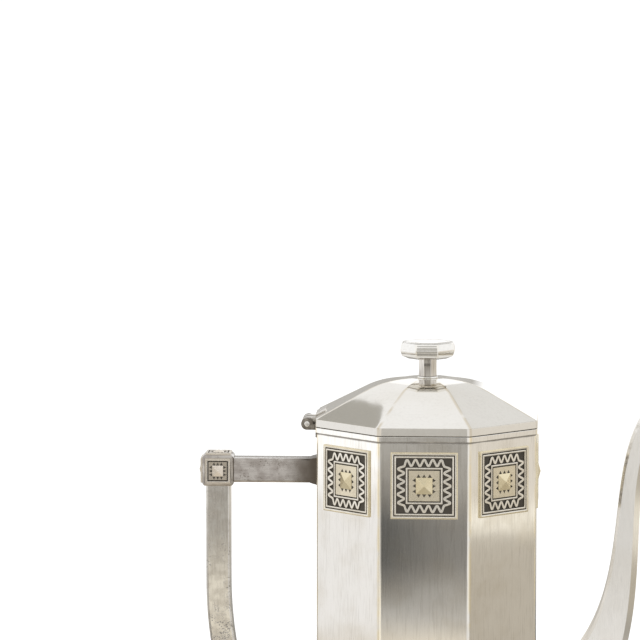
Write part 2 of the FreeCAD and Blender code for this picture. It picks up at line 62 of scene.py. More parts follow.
Colour = tuple[float, float, float, float]
Point = tuple[float, ...]


class Body(Enum):
    """Bodies of the frame that a piece can ride on."""

    POT = "pot"
    LID = "lid"


class Slot(Enum):
    """Material slots."""

    SILVER = "polished_silver"
    HANDLE = "handle_silver"
    HINGE = "hinge_silver"
    PLAQUE = "plaque_silver"
    GILT = "gilt"


class Grain(Enum):
    """Direction of the fine polishing lines, as a stretch of the pattern along each axis."""

    UPRIGHT = (1.0, 1.0, 0.07)
    LENGTHWISE = (0.1, 1.0, 1.0)
    EVEN = (1.0, 1.0, 1.0)


class Graph:
    """Adds and joins the nodes of one tree."""

    def __init__(self, tree: NodeTree) -> None:
        """Keeps the tree that the nodes go into."""
        self.tree = tree

    def feed(self, socket: NodeSocket, value: object) -> None:
        """Joins a socket to another one, or sets its plain value.

        Args:
            socket: input socket.
            value: output socket to join it to, or the value to set.
        """
        if isinstance(value, NodeSocket):
            self.tree.links.new(value, socket)
        else:
            socket.default_value = value

    def add(self, kind: str, inputs: dict | None = None, **settings: object) -> Node:
        """Adds a node.

        Args:
            kind: type name of the node.
            inputs: values or sockets for its inputs, by name or index.
            **settings: properties of the node.

        Returns:
            The new node.
        """
        node = self.tree.nodes.new(kind)
        for name, value in settings.items():
            setattr(node, name, value)
        for key, value in (inputs or {}).items():
            self.feed(node.inputs[key], value)
        return node

    def math(self, operation: str, *terms: object, clamp: bool = False) -> NodeSocket:
        """Adds a math node for values or sockets, kept between 0 and 1 on request, and returns its result."""
        node = self.add("ShaderNodeMath", dict(enumerate(terms)), operation=operation, use_clamp=clamp)
        return node.outputs[0]

    def step(self, value: object, low: object, high: object) -> NodeSocket:
        """Adds a smooth step from 0 to 1 between two limits and returns its result."""
        inputs = {"Value": value, "From Min": low, "From Max": high}
        return self.add("ShaderNodeMapRange", inputs, interpolation_type="SMOOTHSTEP").outputs[0]

    def mix(self, share: object, first: object, second: object) -> NodeSocket:
        """Mixes two colours by the share of the second one."""
        return self.add("ShaderNodeMix", {0: share, 6: first, 7: second}, data_type="RGBA").outputs[2]

    def xyz(self, vector: object) -> tuple[NodeSocket, ...]:
        """Splits a vector into its three parts."""
        node = self.add("ShaderNodeSeparateXYZ", {0: vector})
        return node.outputs[0], node.outputs[1], node.outputs[2]

    def noise(self, vector: object, scale: object, detail: float = 3.0) -> NodeSocket:
        """Adds a noise texture with a number of finer layers and returns its value."""
        inputs = {"Vector": vector, "Scale": scale, "Detail": detail}
        return self.add("ShaderNodeTexNoise", inputs).outputs["Fac"]

    def stretched(self, vector: object, stretch: object) -> NodeSocket:
        """Multiplies a vector by another, part by part."""
        return self.add("ShaderNodeVectorMath", {0: vector, 1: stretch}, operation="MULTIPLY").outputs[0]


def new_group(name: str, kind: str, inputs: dict[str, str], outputs: dict[str, str]) -> Graph:
    """Makes an empty node group with named sockets.

    Args:
        name: name of the group.
        kind: type of its tree.
        inputs: socket type of each input.
        outputs: socket type of each output.

    Returns:
        Graph of the group's tree.
    """
    tree = bpy.data.node_groups.new(name, kind)
    for label, socket in inputs.items():
        tree.interface.new_socket(name=label, in_out="INPUT", socket_type=socket)
    for label, socket in outputs.items():
        tree.interface.new_socket(name=label, in_out="OUTPUT", socket_type=socket)
    return Graph(tree)


class SurfaceEffects:
    """Shader groups that the finishes share."""

    VECTORS = ("Vector", "Stretch")
    COARSE_SCALE = 0.21
    COARSE_SHARE = 0.3
    FINE_SHARE = 0.7
    STRAY_SCALE = 0.02
    STRAY_SPAN = (0.55, 0.66)
    SCRATCH_WIDTH = 0.012
    BREAK_SCALE = 140.0
    BREAK_SPAN = (0.25, 0.6)
    CLUSTER_SCALE = 0.12
    CLUSTER_SPAN = (0.38, 0.72)
    LEAST_PIT = 0.001
    SEAM_SCALE = 160.0
    SEAM_UNEVEN = (1.6, 0.2)
    SEAM_CORE = 0.15
    OXIDE_SCALE = 900.0
    OXIDE_UNEVEN = (0.22 * MM, -0.11 * MM)

    def __init__(self) -> None:
        """Builds each group once."""
        self.grain = self._grain()
        self.cloud = self._cloud()
        self.corners = self._painted_corner_lines()
        self.pits = self._pits()
        self.seam = self._seam_shade()
        self.recess = self._recess()

    def _begin(self, name: str, inputs: Sequence[str],
               outputs: Sequence[str] = ("Mask",)) -> tuple[Graph, NodeOutputs]:
        """Starts a shader group.

        Args:
            name: name of the group.
            inputs: names of its inputs, all plain numbers but for the place and its stretch.
            outputs: names of its outputs, all plain numbers.

        Returns:
            The group's graph and its input sockets.
        """
        number = "NodeSocketFloat"
        kinds = {label: "NodeSocketVector" if label in self.VECTORS else number for label in inputs}
        graph = new_group(name, "ShaderNodeTree", kinds, dict.fromkeys(outputs, number))
        return graph, graph.add("NodeGroupInput").outputs

    def _grain(self) -> NodeTree:
        """Fine polishing lines and a few stray scratches."""
        graph, given = self._begin("polishing_lines", ("Vector", "Stretch", "Scale"), ("Lines", "Scratches"))
        place = graph.stretched(given["Vector"], given["Stretch"])
        lines = graph.noise(place, given["Scale"], 4.0)
        coarse = graph.noise(place, graph.math("MULTIPLY", given["Scale"], self.COARSE_SCALE), 2.0)
        fine = graph.math("MULTIPLY", lines, self.FINE_SHARE)
        both = graph.math("MULTIPLY_ADD", coarse, self.COARSE_SHARE, fine)
        stray = graph.noise(given["Vector"], graph.math("MULTIPLY", given["Scale"], self.STRAY_SCALE), 1.0)
        band = graph.math("ABSOLUTE", graph.math("SUBTRACT", lines, 0.5))
        thin = graph.math("SUBTRACT", 1.0, graph.step(band, 0.0, self.SCRATCH_WIDTH))
        scratches = graph.math("MULTIPLY", thin, graph.step(stray, *self.STRAY_SPAN))
        graph.add("NodeGroupOutput", {"Lines": both, "Scratches": scratches})
        return graph.tree

    def _cloud(self) -> NodeTree:
        """Soft patches of tarnish."""
        graph, given = self._begin("tarnish_patches", ("Vector", "Scale", "Share", "Softness"))
        noise = graph.noise(given["Vector"], given["Scale"], 5.0)
        middle = graph.math("SUBTRACT", 1.0, given["Share"])
        low = graph.math("SUBTRACT", middle, given["Softness"])
        high = graph.math("ADD", middle, given["Softness"])
        graph.add("NodeGroupOutput", {"Mask": graph.step(noise, low, high)})
        return graph.tree

    def _painted_corner_lines(self) -> NodeTree:
        """Mask along the upright corners and ridges of an eight-sided form about the pot's axis, for a
        painted reflection line there with some wear.
        """
        graph, given = self._begin("worn_corners", ("Vector", "Width"), ("Mask", "Reach"))
        x, y, _ = graph.xyz(given["Vector"])
        x = graph.math("ABSOLUTE", x)
        y = graph.math("ABSOLUTE", y)
        straight = graph.math("MAXIMUM", x, y)
        slanted = graph.math("MULTIPLY", graph.math("ADD", x, y), math.sqrt(0.5))
        apart = graph.math("ABSOLUTE", graph.math("SUBTRACT", straight, slanted))
        near = graph.math("SUBTRACT", 1.0, graph.step(apart, 0.0, given["Width"]))
        broken = graph.step(graph.noise(given["Vector"], self.BREAK_SCALE, 2.0), *self.BREAK_SPAN)
        reach = graph.math("MAXIMUM", straight, slanted)
        graph.add("NodeGroupOutput", {"Mask": graph.math("MULTIPLY", near, broken), "Reach": reach})
        return graph.tree

    def _pits(self) -> NodeTree:
        """Small dark pits left by casting and use."""
        graph, given = self._begin("casting_pits", ("Vector", "Scale", "Share"))
        cells = graph.add("ShaderNodeTexVoronoi", {"Vector": given["Vector"], "Scale": given["Scale"]})
        wide = graph.noise(given["Vector"], graph.math("MULTIPLY", given["Scale"], self.CLUSTER_SCALE), 3.0)
        cluster = graph.step(wide, *self.CLUSTER_SPAN)
        limit = graph.math("MULTIPLY_ADD", cluster, given["Share"], self.LEAST_PIT)
        inner = graph.math("MULTIPLY", limit, 0.5)
        mask = graph.math("SUBTRACT", 1.0, graph.step(cells.outputs["Distance"], inner, limit))
        graph.add("NodeGroupOutput", {"Mask": mask})
        return graph.tree

    def _seam_shade(self) -> NodeTree:
        """Thin dark line at one height, where two pieces meet: painted shade in the joint, with some tarnish.
        """
        graph, given = self._begin("seam_tarnish", ("Vector", "Level", "Width"))
        height = graph.xyz(given["Vector"])[2]
        apart = graph.math("ABSOLUTE", graph.math("SUBTRACT", height, given["Level"]))
        uneven = graph.math("MULTIPLY_ADD", graph.noise(given["Vector"], self.SEAM_SCALE), *self.SEAM_UNEVEN)
        near = graph.math("MULTIPLY", given["Width"], uneven)
        core = graph.math("MULTIPLY", near, self.SEAM_CORE)
        mask = graph.math("SUBTRACT", 1.0, graph.step(apart, core, near))
        graph.add("NodeGroupOutput", {"Mask": mask})
        return graph.tree

    def _recess(self) -> NodeTree:
        """Oxide that stays in low parts of a relief and is rubbed off its high parts."""
        graph, given = self._begin("recess_oxide", ("Vector", "Relief", "Low", "High"))
        noise = graph.noise(given["Vector"], self.OXIDE_SCALE, 3.0)
        rough = graph.math("MULTIPLY_ADD", noise, *self.OXIDE_UNEVEN)
        height = graph.math("ADD", given["Relief"], rough)
        mask = graph.math("SUBTRACT", 1.0, graph.step(height, given["Low"], given["High"]))
        graph.add("NodeGroupOutput", {"Mask": mask})
        return graph.tree


def shading(name: str, kinds: bpy_prop_collection) -> tuple[ID, Graph]:
    """Makes an empty material or world.

    Args:
        name: its name.
        kinds: the file's materials or worlds.

    Returns:
        The material or world and its graph.
    """
    made = kinds.new(name)
    made.use_nodes = True
    made.node_tree.nodes.clear()
    return made, Graph(made.node_tree)


class FinishMaker:
    """Common part of the finishes: an empty material with its graph and shader."""

    def start(self, name: str) -> tuple[Material, Graph, Node, NodeSocket]:
        """Makes a material that holds one metal shader.

        Args:
            name: name of the material.

        Returns:
            The material, its graph, its shader and its object coordinates.
        """
        material, graph = shading(name, bpy.data.materials)
        shader = graph.add("ShaderNodeBsdfPrincipled")
        graph.add("ShaderNodeOutputMaterial", {"Surface": shader.outputs[0]})
        place = graph.add("ShaderNodeTexCoord").outputs["Object"]
        return material, graph, shader, place

    @staticmethod
    def effect(graph: Graph, tree: NodeTree, **inputs: object) -> Node:
        """Places a shared effect in a material, with its inputs by name, and returns its node."""
        return graph.add("ShaderNodeGroup", inputs, node_tree=tree)

    @staticmethod
    def emboss(graph: Graph, shader: Node, height: NodeSocket, strength: float, reach: float) -> None:
        """Gives a shader its fine relief, with the depth that a height of 1 stands for as its reach."""
        bump = graph.add("ShaderNodeBump", {"Height": height, "Strength": strength, "Distance": reach})
        graph.feed(shader.inputs["Normal"], bump.outputs[0])


@dataclass(frozen=True)
class SilverFinish(FinishMaker):
    """Worn silver: polishing lines, tarnish, pits, painted reflection lines along the corners with some wear,
    and painted shade at seams and near the wall.

    Attributes:
        name: name of the material.
        clean: colour of the bare metal.
        stain: colour of the tarnish.
        streak: colour of the dull polishing lines.
        dark: colour of the dirt in pits and scratches, and of the painted shade at each seam and near the
            wall.
        corner: colour of the line painted along the corners: a painted reflection of their rounding, with
            some wear.
        roughness: lowest roughness.
        rough_gain: roughness added by lines and tarnish.
        streak_depth: strength of the dull lines.
        corner_line_depth: strength of the painted corner line.
        pit_depth: strength of the pits.
        metallic: how metallic the surface is.
        dull: colour of the dull inside.
        dull_within: reach from the axis within which the metal is dull, or 0 for none.
        grain: direction of the polishing lines.
        grain_scale: fineness of the lines.
        stain_share: share of the surface that is stained.
        stain_scale: fineness of the stains.
        stain_depth: strength of the stains.
        pit_share: size of the pits, or 0 for none.
        seams: height, width and strength of each dark line painted at a seam: painted shade, with some
            tarnish.
        bump: strength of the surface detail.
        wall_shade_span: X places between which painted shade darkens the metal towards the wall, or none.
    """

    name: str
    clean: Colour = (0.88, 0.86, 0.825, 1.0)
    stain: Colour = (0.70, 0.65, 0.56, 1.0)
    streak: Colour = (0.50, 0.475, 0.43, 1.0)
    dark: Colour = (0.10, 0.08, 0.06, 1.0)
    corner: Colour = (0.93, 0.82, 0.59, 1.0)
    roughness: float = 0.05
    rough_gain: float = 0.05
    streak_depth: float = 0.16
    corner_line_depth: float = 0.9
    pit_depth: float = 0.5
    metallic: float = 1.0
    dull: Colour = (0.60, 0.565, 0.505, 1.0)
    dull_within: float = 0.0
    grain: Grain = Grain.UPRIGHT
    grain_scale: float = 2400.0
    stain_share: float = 0.42
    stain_scale: float = 26.0
    stain_depth: float = 0.45
    pit_share: float = 0.0
    seams: tuple[tuple[float, float, float], ...] = ()
    bump: float = 0.06
    wall_shade_span: tuple[float, float] | None = None

    CORNER_WIDTH = 0.85 * MM
    STAIN_SOFTNESS = 0.16
    STREAK_SPAN = (0.46, 0.66)
    SCRATCH_DEPTH = 0.1
    PIT_SCALES = (2600.0, 1100.0)
    WALL_SHADE_DEPTH = 0.94
    LINE_ROUGHNESS = 0.5
    DIRT_ROUGHNESS = 0.3
    DULL_FADE = 0.1 * MM
    DULL_ROUGHNESS = 0.45
    DULL_METAL = -0.7
    WAVE_SCALE = 32.0
    LINE_RELIEF = 0.12
    DIRT_RELIEF = -0.35
    BUMP_REACH = 0.6 * MM

    def make(self, effects: SurfaceEffects) -> Material:
        """Builds the material.

        Args:
            effects: shared shader groups.

        Returns:
            The finished material.
        """
        material, graph, shader, place = self.start(self.name)
        shader.inputs["Metallic"].default_value = self.metallic
        lines = self.effect(graph, effects.grain, Vector=place, Stretch=self.grain.value,
                            Scale=self.grain_scale).outputs
        cloud = self.effect(graph, effects.cloud, Vector=place, Scale=self.stain_scale,
                            Share=self.stain_share, Softness=self.STAIN_SOFTNESS)
        corner = self.effect(graph, effects.corners, Vector=place, Width=self.CORNER_WIDTH).outputs
        stained = graph.math("MULTIPLY", cloud.outputs["Mask"], self.stain_depth)
        colour = graph.mix(stained, self.clean, self.stain)
        streak = graph.math("MULTIPLY", graph.step(lines["Lines"], *self.STREAK_SPAN), self.streak_depth)
        colour = graph.mix(streak, colour, self.streak)
        # painted reflection line along the corners, with some wear: bright on the walls, darker on the lid's
        # ridges
        rubbed = graph.math("MULTIPLY", corner["Mask"], self.corner_line_depth)
        colour = graph.mix(rubbed, colour, self.corner)
        dirt = graph.math("MULTIPLY", lines["Scratches"], self.SCRATCH_DEPTH)
        if self.pit_share:
            fine, wide = [self.effect(graph, effects.pits, Vector=place, Scale=scale, Share=self.pit_share)
                          for scale in self.PIT_SCALES]
            both = graph.math("MAXIMUM", fine.outputs["Mask"], wide.outputs["Mask"])
            dirt = graph.math("MAXIMUM", dirt, graph.math("MULTIPLY", both, self.pit_depth))
        # painted shade at each seam, with some tarnish, put into the dirt mask
        for level, width, depth in self.seams:
            seam = self.effect(graph, effects.seam, Vector=place, Level=level, Width=width)
            dirt = graph.math("MAXIMUM", dirt, graph.math("MULTIPLY", seam.outputs["Mask"], depth))
        # painted shade that darkens the handle bar towards the wall
        if self.wall_shade_span:
            near = graph.step(graph.xyz(place)[0], *self.wall_shade_span)
            dirt = graph.math("MAXIMUM", dirt, graph.math("MULTIPLY", near, self.WALL_SHADE_DEPTH))
        # the dark colour covers pits and scratches and also the painted shade at seams and near the wall
        colour = graph.mix(dirt, colour, self.dark)
        uneven = graph.math("MULTIPLY_ADD", lines["Lines"], self.LINE_ROUGHNESS, stained)
        rough = graph.math("MULTIPLY_ADD", uneven, self.rough_gain, self.roughness)
        rough = graph.math("MULTIPLY_ADD", dirt, self.DIRT_ROUGHNESS, rough, clamp=True)
        if self.dull_within:
            within = graph.step(corner["Reach"], self.dull_within, self.dull_within - self.DULL_FADE)
            colour = graph.mix(within, colour, self.dull)
            rough = graph.math("MULTIPLY_ADD", within, self.DULL_ROUGHNESS, rough, clamp=True)
            metal = graph.math("MULTIPLY_ADD", within, self.DULL_METAL, self.metallic)
            graph.feed(shader.inputs["Metallic"], metal)
        graph.feed(shader.inputs["Base Color"], colour)
        graph.feed(shader.inputs["Roughness"], rough)
        wave = graph.noise(place, self.WAVE_SCALE, 2.0)
        height = graph.math("MULTIPLY_ADD", lines["Lines"], self.LINE_RELIEF, wave)
        height = graph.math("MULTIPLY_ADD", dirt, self.DIRT_RELIEF, height)
        self.emboss(graph, shader, height, self.bump, self.BUMP_REACH)
        return material


@dataclass(frozen=True)
class ReliefFinish(FinishMaker):
    """Metal of a stamped relief, with oxide left in its low parts.

    Attributes:
        name: name of the material.
        clean: colour of the rubbed high parts.
        stain: colour of the tarnish on them.
        oxide: colour of the low parts.
        low: height above the wall below which the oxide is whole.
        high: height above which the metal is rubbed bright.
        roughness: lowest roughness.
        field: colour of the plain field, a little lower than the frames.
        field_top: height above which the frames begin.
        warm: colour of the outermost edge.
        warm_from: mark above which that edge begins.
    """

    name: str
    clean: Colour
    stain: Colour
    field: Colour
    warm: Colour
    field_top: float = 0.73 * MM
    warm_from: float = 0.83 * MM
    oxide: Colour = (0.092, 0.081, 0.066, 1.0)
    low: float = 0.42 * MM
    high: float = 0.66 * MM
    roughness: float = 0.24

    CLOUD = {"Scale": 190.0, "Share": 0.45, "Softness": 0.2}
    PITS = {"Scale": 1400.0, "Share": 0.30}
    FIELD_FADE = 0.04 * MM
    WARM_FADE = 0.05 * MM
    STAIN_DEPTH = 0.5
    PIT_DEPTH = 0.5
    OXIDE_METAL = -0.45
    OXIDE_ROUGHNESS = 0.34
    STAIN_ROUGHNESS = 0.10
    OXIDE_RELIEF = -0.3
    WAVE_SCALE = 700.0
    BUMP = 0.25
    BUMP_REACH = 0.12 * MM

    def make(self, effects: SurfaceEffects) -> Material:
        """Builds the material.

        Args:
            effects: shared shader groups.

        Returns:
            The finished material.
        """
        material, graph, shader, place = self.start(self.name)
        relief = graph.add("ShaderNodeAttribute", attribute_name="relief").outputs["Fac"]
        oxide = self.effect(graph, effects.recess, Vector=place, Relief=relief, Low=self.low, High=self.high)
        cloud = self.effect(graph, effects.cloud, Vector=place, **self.CLOUD).outputs["Mask"]
        pits = self.effect(graph, effects.pits, Vector=place, **self.PITS).outputs["Mask"]
        framed = graph.step(relief, self.field_top, self.field_top + self.FIELD_FADE)
        edged = graph.step(relief, self.warm_from, self.warm_from + self.WARM_FADE)
        raised = graph.mix(edged, graph.mix(framed, self.field, self.clean), self.warm)
        colour = graph.mix(graph.math("MULTIPLY", cloud, self.STAIN_DEPTH), raised, self.stain)
        pitted = graph.math("MULTIPLY", pits, self.PIT_DEPTH)
        dirt = graph.math("MAXIMUM", oxide.outputs["Mask"], pitted)
        graph.feed(shader.inputs["Base Color"], graph.mix(dirt, colour, self.oxide))
        graph.feed(shader.inputs["Metallic"], graph.math("MULTIPLY_ADD", dirt, self.OXIDE_METAL, 1.0))
        uneven = graph.math("MULTIPLY_ADD", dirt, self.OXIDE_ROUGHNESS, self.roughness)
        rough = graph.math("MULTIPLY_ADD", cloud, self.STAIN_ROUGHNESS, uneven)
        graph.feed(shader.inputs["Roughness"], rough)
        wave = graph.noise(place, self.WAVE_SCALE, 3.0)
        height = graph.math("MULTIPLY_ADD", dirt, self.OXIDE_RELIEF, wave)
        self.emboss(graph, shader, height, self.BUMP, self.BUMP_REACH)
        return material


@dataclass
class Finishes:
    """All the materials of the pot."""

    silver: Material
    inside: Material
    lid: Material
    finial: Material
    stem: Material
    spout: Material
    grip: Material
    bar: Material
    hinge: Material
    pin: Material
    strap: Material
    plaque: Material
    gilt: Material
    block_plaque: Material
    block_point: Material

    WALL_DEPTH = 0.5 * MM
    BAR_SHADE = (17.0 * MM, 1.0 * MM)

    @classmethod
    def make(cls) -> "Finishes":
        """Builds every material of the pot."""
        effects = SurfaceEffects()
        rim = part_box("mouth_rim")
        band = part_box("lid_band")
        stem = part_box("finial_stem")
        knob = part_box("finial_knob")
        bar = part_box("handle_upper_bar")
        # each painted seam shade has a height, a width and a strength
        # painted shade in the parting gap between the mouth rim and the lid band, with some tarnish
        parting = ((rim[1].z + band[0].z) / 2, 0.28 * MM, 0.3)
        # a painted shadow under the mouth rim, then the parting line
        wall_seams = ((rim[0].z - 0.2 * MM, 0.6 * MM, 0.75), parting)
        lid_seams = (parting,)
        # painted shade where the stem meets the ring and under the knob
        stem_seams = ((stem[0].z, 0.35 * MM, 0.5), (knob[0].z + 0.9 * MM, 0.4 * MM, 0.5))
        handle = {"stain_share": 0.5, "stain_depth": 0.55, "streak_depth": 0.35, "grain_scale": 1800.0,
                  "roughness": 0.07, "rough_gain": 0.09, "pit_share": 0.5, "stain_scale": 260.0, "bump": 0.2,
                  "corner_line_depth": 0.0}
        pyramid = {"low": 0.55 * MM, "high": 0.8 * MM, "roughness": 0.2}
        finishes = dict(
            silver=SilverFinish("polished_silver", seams=wall_seams, clean=(0.90, 0.88, 0.845, 1.0),
                                streak_depth=0.24, stain_scale=62.0, stain_depth=0.5, grain_scale=1600.0,
                                dull_within=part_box("body_walls")[1].y - cls.WALL_DEPTH),
            inside=SilverFinish("silver_inside", clean=(0.66, 0.62, 0.56, 1.0), stain_share=0.6,
                                stain_depth=0.6, roughness=0.45, metallic=0.35),
            lid=SilverFinish("lid_silver", clean=(0.86, 0.84, 0.80, 1.0), grain=Grain.EVEN,
                             grain_scale=700.0, stain_depth=0.3, stain_share=0.38, streak_depth=0.08,
                             seams=lid_seams, roughness=0.035, rough_gain=0.04, bump=0.03,
                             # darker painted lines on the dome's ridges, standing in for their reflection
                             corner=(0.64, 0.565, 0.44, 1.0), corner_line_depth=0.8),
            finial=SilverFinish("finial_silver", grain=Grain.EVEN, grain_scale=900.0, seams=stem_seams,
                                stain_scale=60.0, streak_depth=0.1, stain_depth=0.3, roughness=0.06,
                                clean=(0.95, 0.94, 0.915, 1.0), corner_line_depth=0.15),
            # a darker copy of the finial's silver with dark streaks: painted dark reflection on the stem
            # under the knob
            stem=SilverFinish("stem_silver", grain_scale=1500.0, seams=stem_seams, stain_scale=300.0,
                              clean=(0.70, 0.67, 0.63, 1.0), streak=(0.20, 0.165, 0.14, 1.0),
                              streak_depth=0.5, stain_depth=0.3, roughness=0.02, corner_line_depth=0.0),
            spout=SilverFinish("spout_silver", stain_depth=0.35, streak_depth=0.12, roughness=0.1,
                               corner_line_depth=0.0),
            grip=SilverFinish("grip_silver", clean=(0.72, 0.695, 0.65, 1.0), stain=(0.50, 0.465, 0.42, 1.0),
                              streak=(0.42, 0.39, 0.35, 1.0), **handle),
            bar=SilverFinish("handle_bar_silver", clean=(0.50, 0.47, 0.435, 1.0),
                             stain=(0.25, 0.215, 0.19, 1.0), streak=(0.28, 0.25, 0.225, 1.0),
                             grain=Grain.LENGTHWISE,
                             # painted shade on the bar where it meets the wall
                             wall_shade_span=tuple(bar[1].x - back for back in cls.BAR_SHADE), **handle),
            hinge=SilverFinish("hinge_silver", clean=(0.42, 0.39, 0.34, 1.0), roughness=0.3, rough_gain=0.2,
                               pit_share=0.4, stain_scale=180.0, stain=(0.12, 0.10, 0.08, 1.0),
                               stain_share=0.6, stain_depth=0.85, grain=Grain.EVEN, bump=0.2),
            strap=SilverFinish("strap_silver", clean=(0.72, 0.69, 0.64, 1.0), grain=Grain.EVEN,
                               stain_scale=150.0, stain=(0.34, 0.31, 0.27, 1.0), stain_share=0.5,
                               stain_depth=0.7, roughness=0.2, pit_share=0.3),
            pin=SilverFinish("pin_silver", grain=Grain.EVEN, grain_scale=2500.0, stain_scale=400.0,
                             stain_share=0.3, roughness=0.18),
            plaque=ReliefFinish("worked_silver", clean=(0.86, 0.82, 0.74, 1.0), stain=(0.64, 0.57, 0.45, 1.0),
                                field=(0.76, 0.69, 0.54, 1.0), warm=(0.80, 0.71, 0.50, 1.0)),
            gilt=ReliefFinish("pale_gilt", clean=(0.83, 0.74, 0.52, 1.0), stain=(0.64, 0.53, 0.32, 1.0),
                              field=(0.70, 0.60, 0.38, 1.0), warm=(0.83, 0.74, 0.52, 1.0), **pyramid),
            block_plaque=ReliefFinish("block_silver", clean=(0.66, 0.615, 0.55, 1.0),
                                      stain=(0.42, 0.375, 0.32, 1.0), field=(0.52, 0.47, 0.40, 1.0),
                                      warm=(0.68, 0.62, 0.53, 1.0)),
            block_point=ReliefFinish("block_pale_gilt", clean=(0.84, 0.77, 0.68, 1.0),
                                     stain=(0.62, 0.55, 0.46, 1.0), field=(0.66, 0.59, 0.50, 1.0),
                                     warm=(0.84, 0.77, 0.68, 1.0), **pyramid),
        )
        return cls(**{part: finish.make(effects) for part, finish in finishes.items()})


class ShapeTrees:
    """Geometry Nodes trees that make the pot's regular shapes."""

    CREASE = 0.5
    BAR_CREASE = 0.15
    FILLET_STEPS = 4
    LEAST = 0.0001
    WELD = 0.002 * MM

    def __init__(self) -> None:
        """Builds each tree once."""
        self.turning = self._turning()
        self.sweep = self._sweep()
        self.placing = self._placing()

    @staticmethod
    def _begin(name: str, inputs: dict[str, str]) -> tuple[Graph, NodeOutputs]:
        """Starts a geometry tree.

        Args:
            name: name of the tree.
            inputs: socket type of each input after the geometry.

        Returns:
            The tree's graph and its input sockets.
        """
        sockets = {"Geometry": "NodeSocketGeometry"}
        sockets.update(inputs)
        sockets["Material"] = "NodeSocketMaterial"
        graph = new_group(name, "GeometryNodeTree", sockets, {"Geometry": "NodeSocketGeometry"})
        return graph, graph.add("NodeGroupInput").outputs

    @staticmethod
    def _end(graph: Graph, geometry: NodeSocket, material: NodeSocket, crease: float = CREASE) -> NodeTree:
        """Smooths the faces between sharp edges, makes the result real and gives it its material.

        Args:
            graph: graph of the tree.
            geometry: shape so far.
            material: the tree's material input.
            crease: angle above which an edge stays sharp.

        Returns:
            The finished tree.
        """
        real = graph.add("GeometryNodeRealizeInstances", {0: geometry}).outputs[0]
        smooth = graph.add("GeometryNodeSetShadeSmooth", {"Geometry": real, "Shade Smooth": True}).outputs[0]
        angle = graph.add("GeometryNodeInputMeshEdgeAngle").outputs["Unsigned Angle"]
        sharp = graph.add("FunctionNodeCompare", {0: angle, 1: crease}, operation="GREATER_THAN").outputs[0]
        inputs = {"Geometry": smooth, "Selection": sharp, "Shade Smooth": False}
        creased = graph.add("GeometryNodeSetShadeSmooth", inputs, domain="EDGE").outputs[0]
        dressed = graph.add("GeometryNodeSetMaterial", {"Geometry": creased, "Material": material}).outputs[0]
        graph.add("NodeGroupOutput", {0: dressed})
        return graph.tree

    @staticmethod
    def _mark(graph: Graph, geometry: NodeSocket, relief: NodeSocket) -> NodeSocket:
        """Keeps a height at each point, by which the finish tells high from low."""
        inputs = {"Geometry": geometry, "Name": "relief", "Value": relief}
        return graph.add("GeometryNodeStoreNamedAttribute", inputs, data_type="FLOAT").outputs[0]

    def _fillet(self, graph: Graph, curve: NodeSocket, radius: NodeSocket) -> NodeSocket:
        """Rounds the corners of a curve and returns it."""
        inputs = {"Curve": curve, "Count": self.FILLET_STEPS, "Radius": radius, "Limit Radius": True}
        return graph.add("GeometryNodeFilletCurve", inputs, mode="POLY").outputs[0]

    def _turning(self) -> NodeTree:
        """Turns a profile about Z into a many-sided form with softened corners."""
        graph, given = self._begin("many_sided_turning", {
            "Sides": "NodeSocketInt", "Steps": "NodeSocketInt", "Corner Focus": "NodeSocketFloat",
            "Corner Sharpness": "NodeSocketFloat"})
        profile = given["Geometry"]
        rows = graph.add("GeometryNodeAttributeDomainSize", {0: profile}, component="MESH").outputs[0]
        columns = graph.math("MULTIPLY_ADD", given["Sides"], given["Steps"], 1.0)
        sizes = {"Size X": 1.0, "Size Y": 1.0, "Vertices X": columns, "Vertices Y": rows}
        grid = graph.add("GeometryNodeMeshGrid", sizes).outputs[0]
        place = graph.add("GeometryNodeInputPosition").outputs[0]
        x, y, _ = graph.xyz(place)
        around = graph.math("MULTIPLY", graph.math("ADD", x, 0.5), given["Sides"])
        sector = graph.math("FLOOR", graph.math("ADD", around, self.LEAST))
        across = graph.math("MULTIPLY_ADD", graph.math("SUBTRACT", around, sector), 2.0, -1.0)
        rest = graph.math("MAXIMUM", graph.math("SUBTRACT", 1.0, graph.math("ABSOLUTE", across)), 0.0)
        lean = graph.math("SUBTRACT", 1.0, graph.math("POWER", rest, given["Corner Focus"]))
        half = graph.math("DIVIDE", math.pi, given["Sides"])
        tilt = graph.math("MULTIPLY", lean, half)
        signed = graph.math("MULTIPLY", tilt, graph.math("SIGN", across))
        turn = graph.math("MULTIPLY_ADD", sector, graph.math("MULTIPLY", half, 2.0), signed)
        near = graph.math("COSINE", tilt)
        far = graph.math("COSINE", graph.math("SUBTRACT", graph.math("MULTIPLY", half, 2.0), tilt))
        ratio = graph.math("POWER", graph.math("MAXIMUM", graph.math("DIVIDE", far, near), self.LEAST),
                           given["Corner Sharpness"])
        soft = graph.math("POWER", graph.math("ADD", ratio, 1.0),
                          graph.math("DIVIDE", 1.0, given["Corner Sharpness"]))
        support = graph.math("MULTIPLY", near, soft)
        last = graph.math("SUBTRACT", rows, 1.0)
        row = graph.math("ROUND", graph.math("MULTIPLY", graph.math("ADD", y, 0.5), last))
        sampled = graph.add("GeometryNodeSampleIndex", data_type="FLOAT_VECTOR", domain="POINT")
        graph.feed(sampled.inputs["Geometry"], profile)
        graph.feed(sampled.inputs["Value"], graph.add("GeometryNodeInputPosition").outputs[0])
        graph.feed(sampled.inputs["Index"], row)
        reach, relief, height = graph.xyz(sampled.outputs[0])
        length = graph.math("DIVIDE", reach, support)
        where = graph.add("ShaderNodeCombineXYZ", {
            0: graph.math("MULTIPLY", length, graph.math("COSINE", turn)),
            1: graph.math("MULTIPLY", length, graph.math("SINE", turn)), 2: height}).outputs[0]
        marked = self._mark(graph, grid, relief)
        formed = graph.add("GeometryNodeSetPosition", {"Geometry": marked, "Position": where}).outputs[0]
        weld = {"Geometry": formed, "Distance": self.WELD}
        closed = graph.add("GeometryNodeMergeByDistance", weld).outputs[0]
        return self._end(graph, closed, given["Material"])

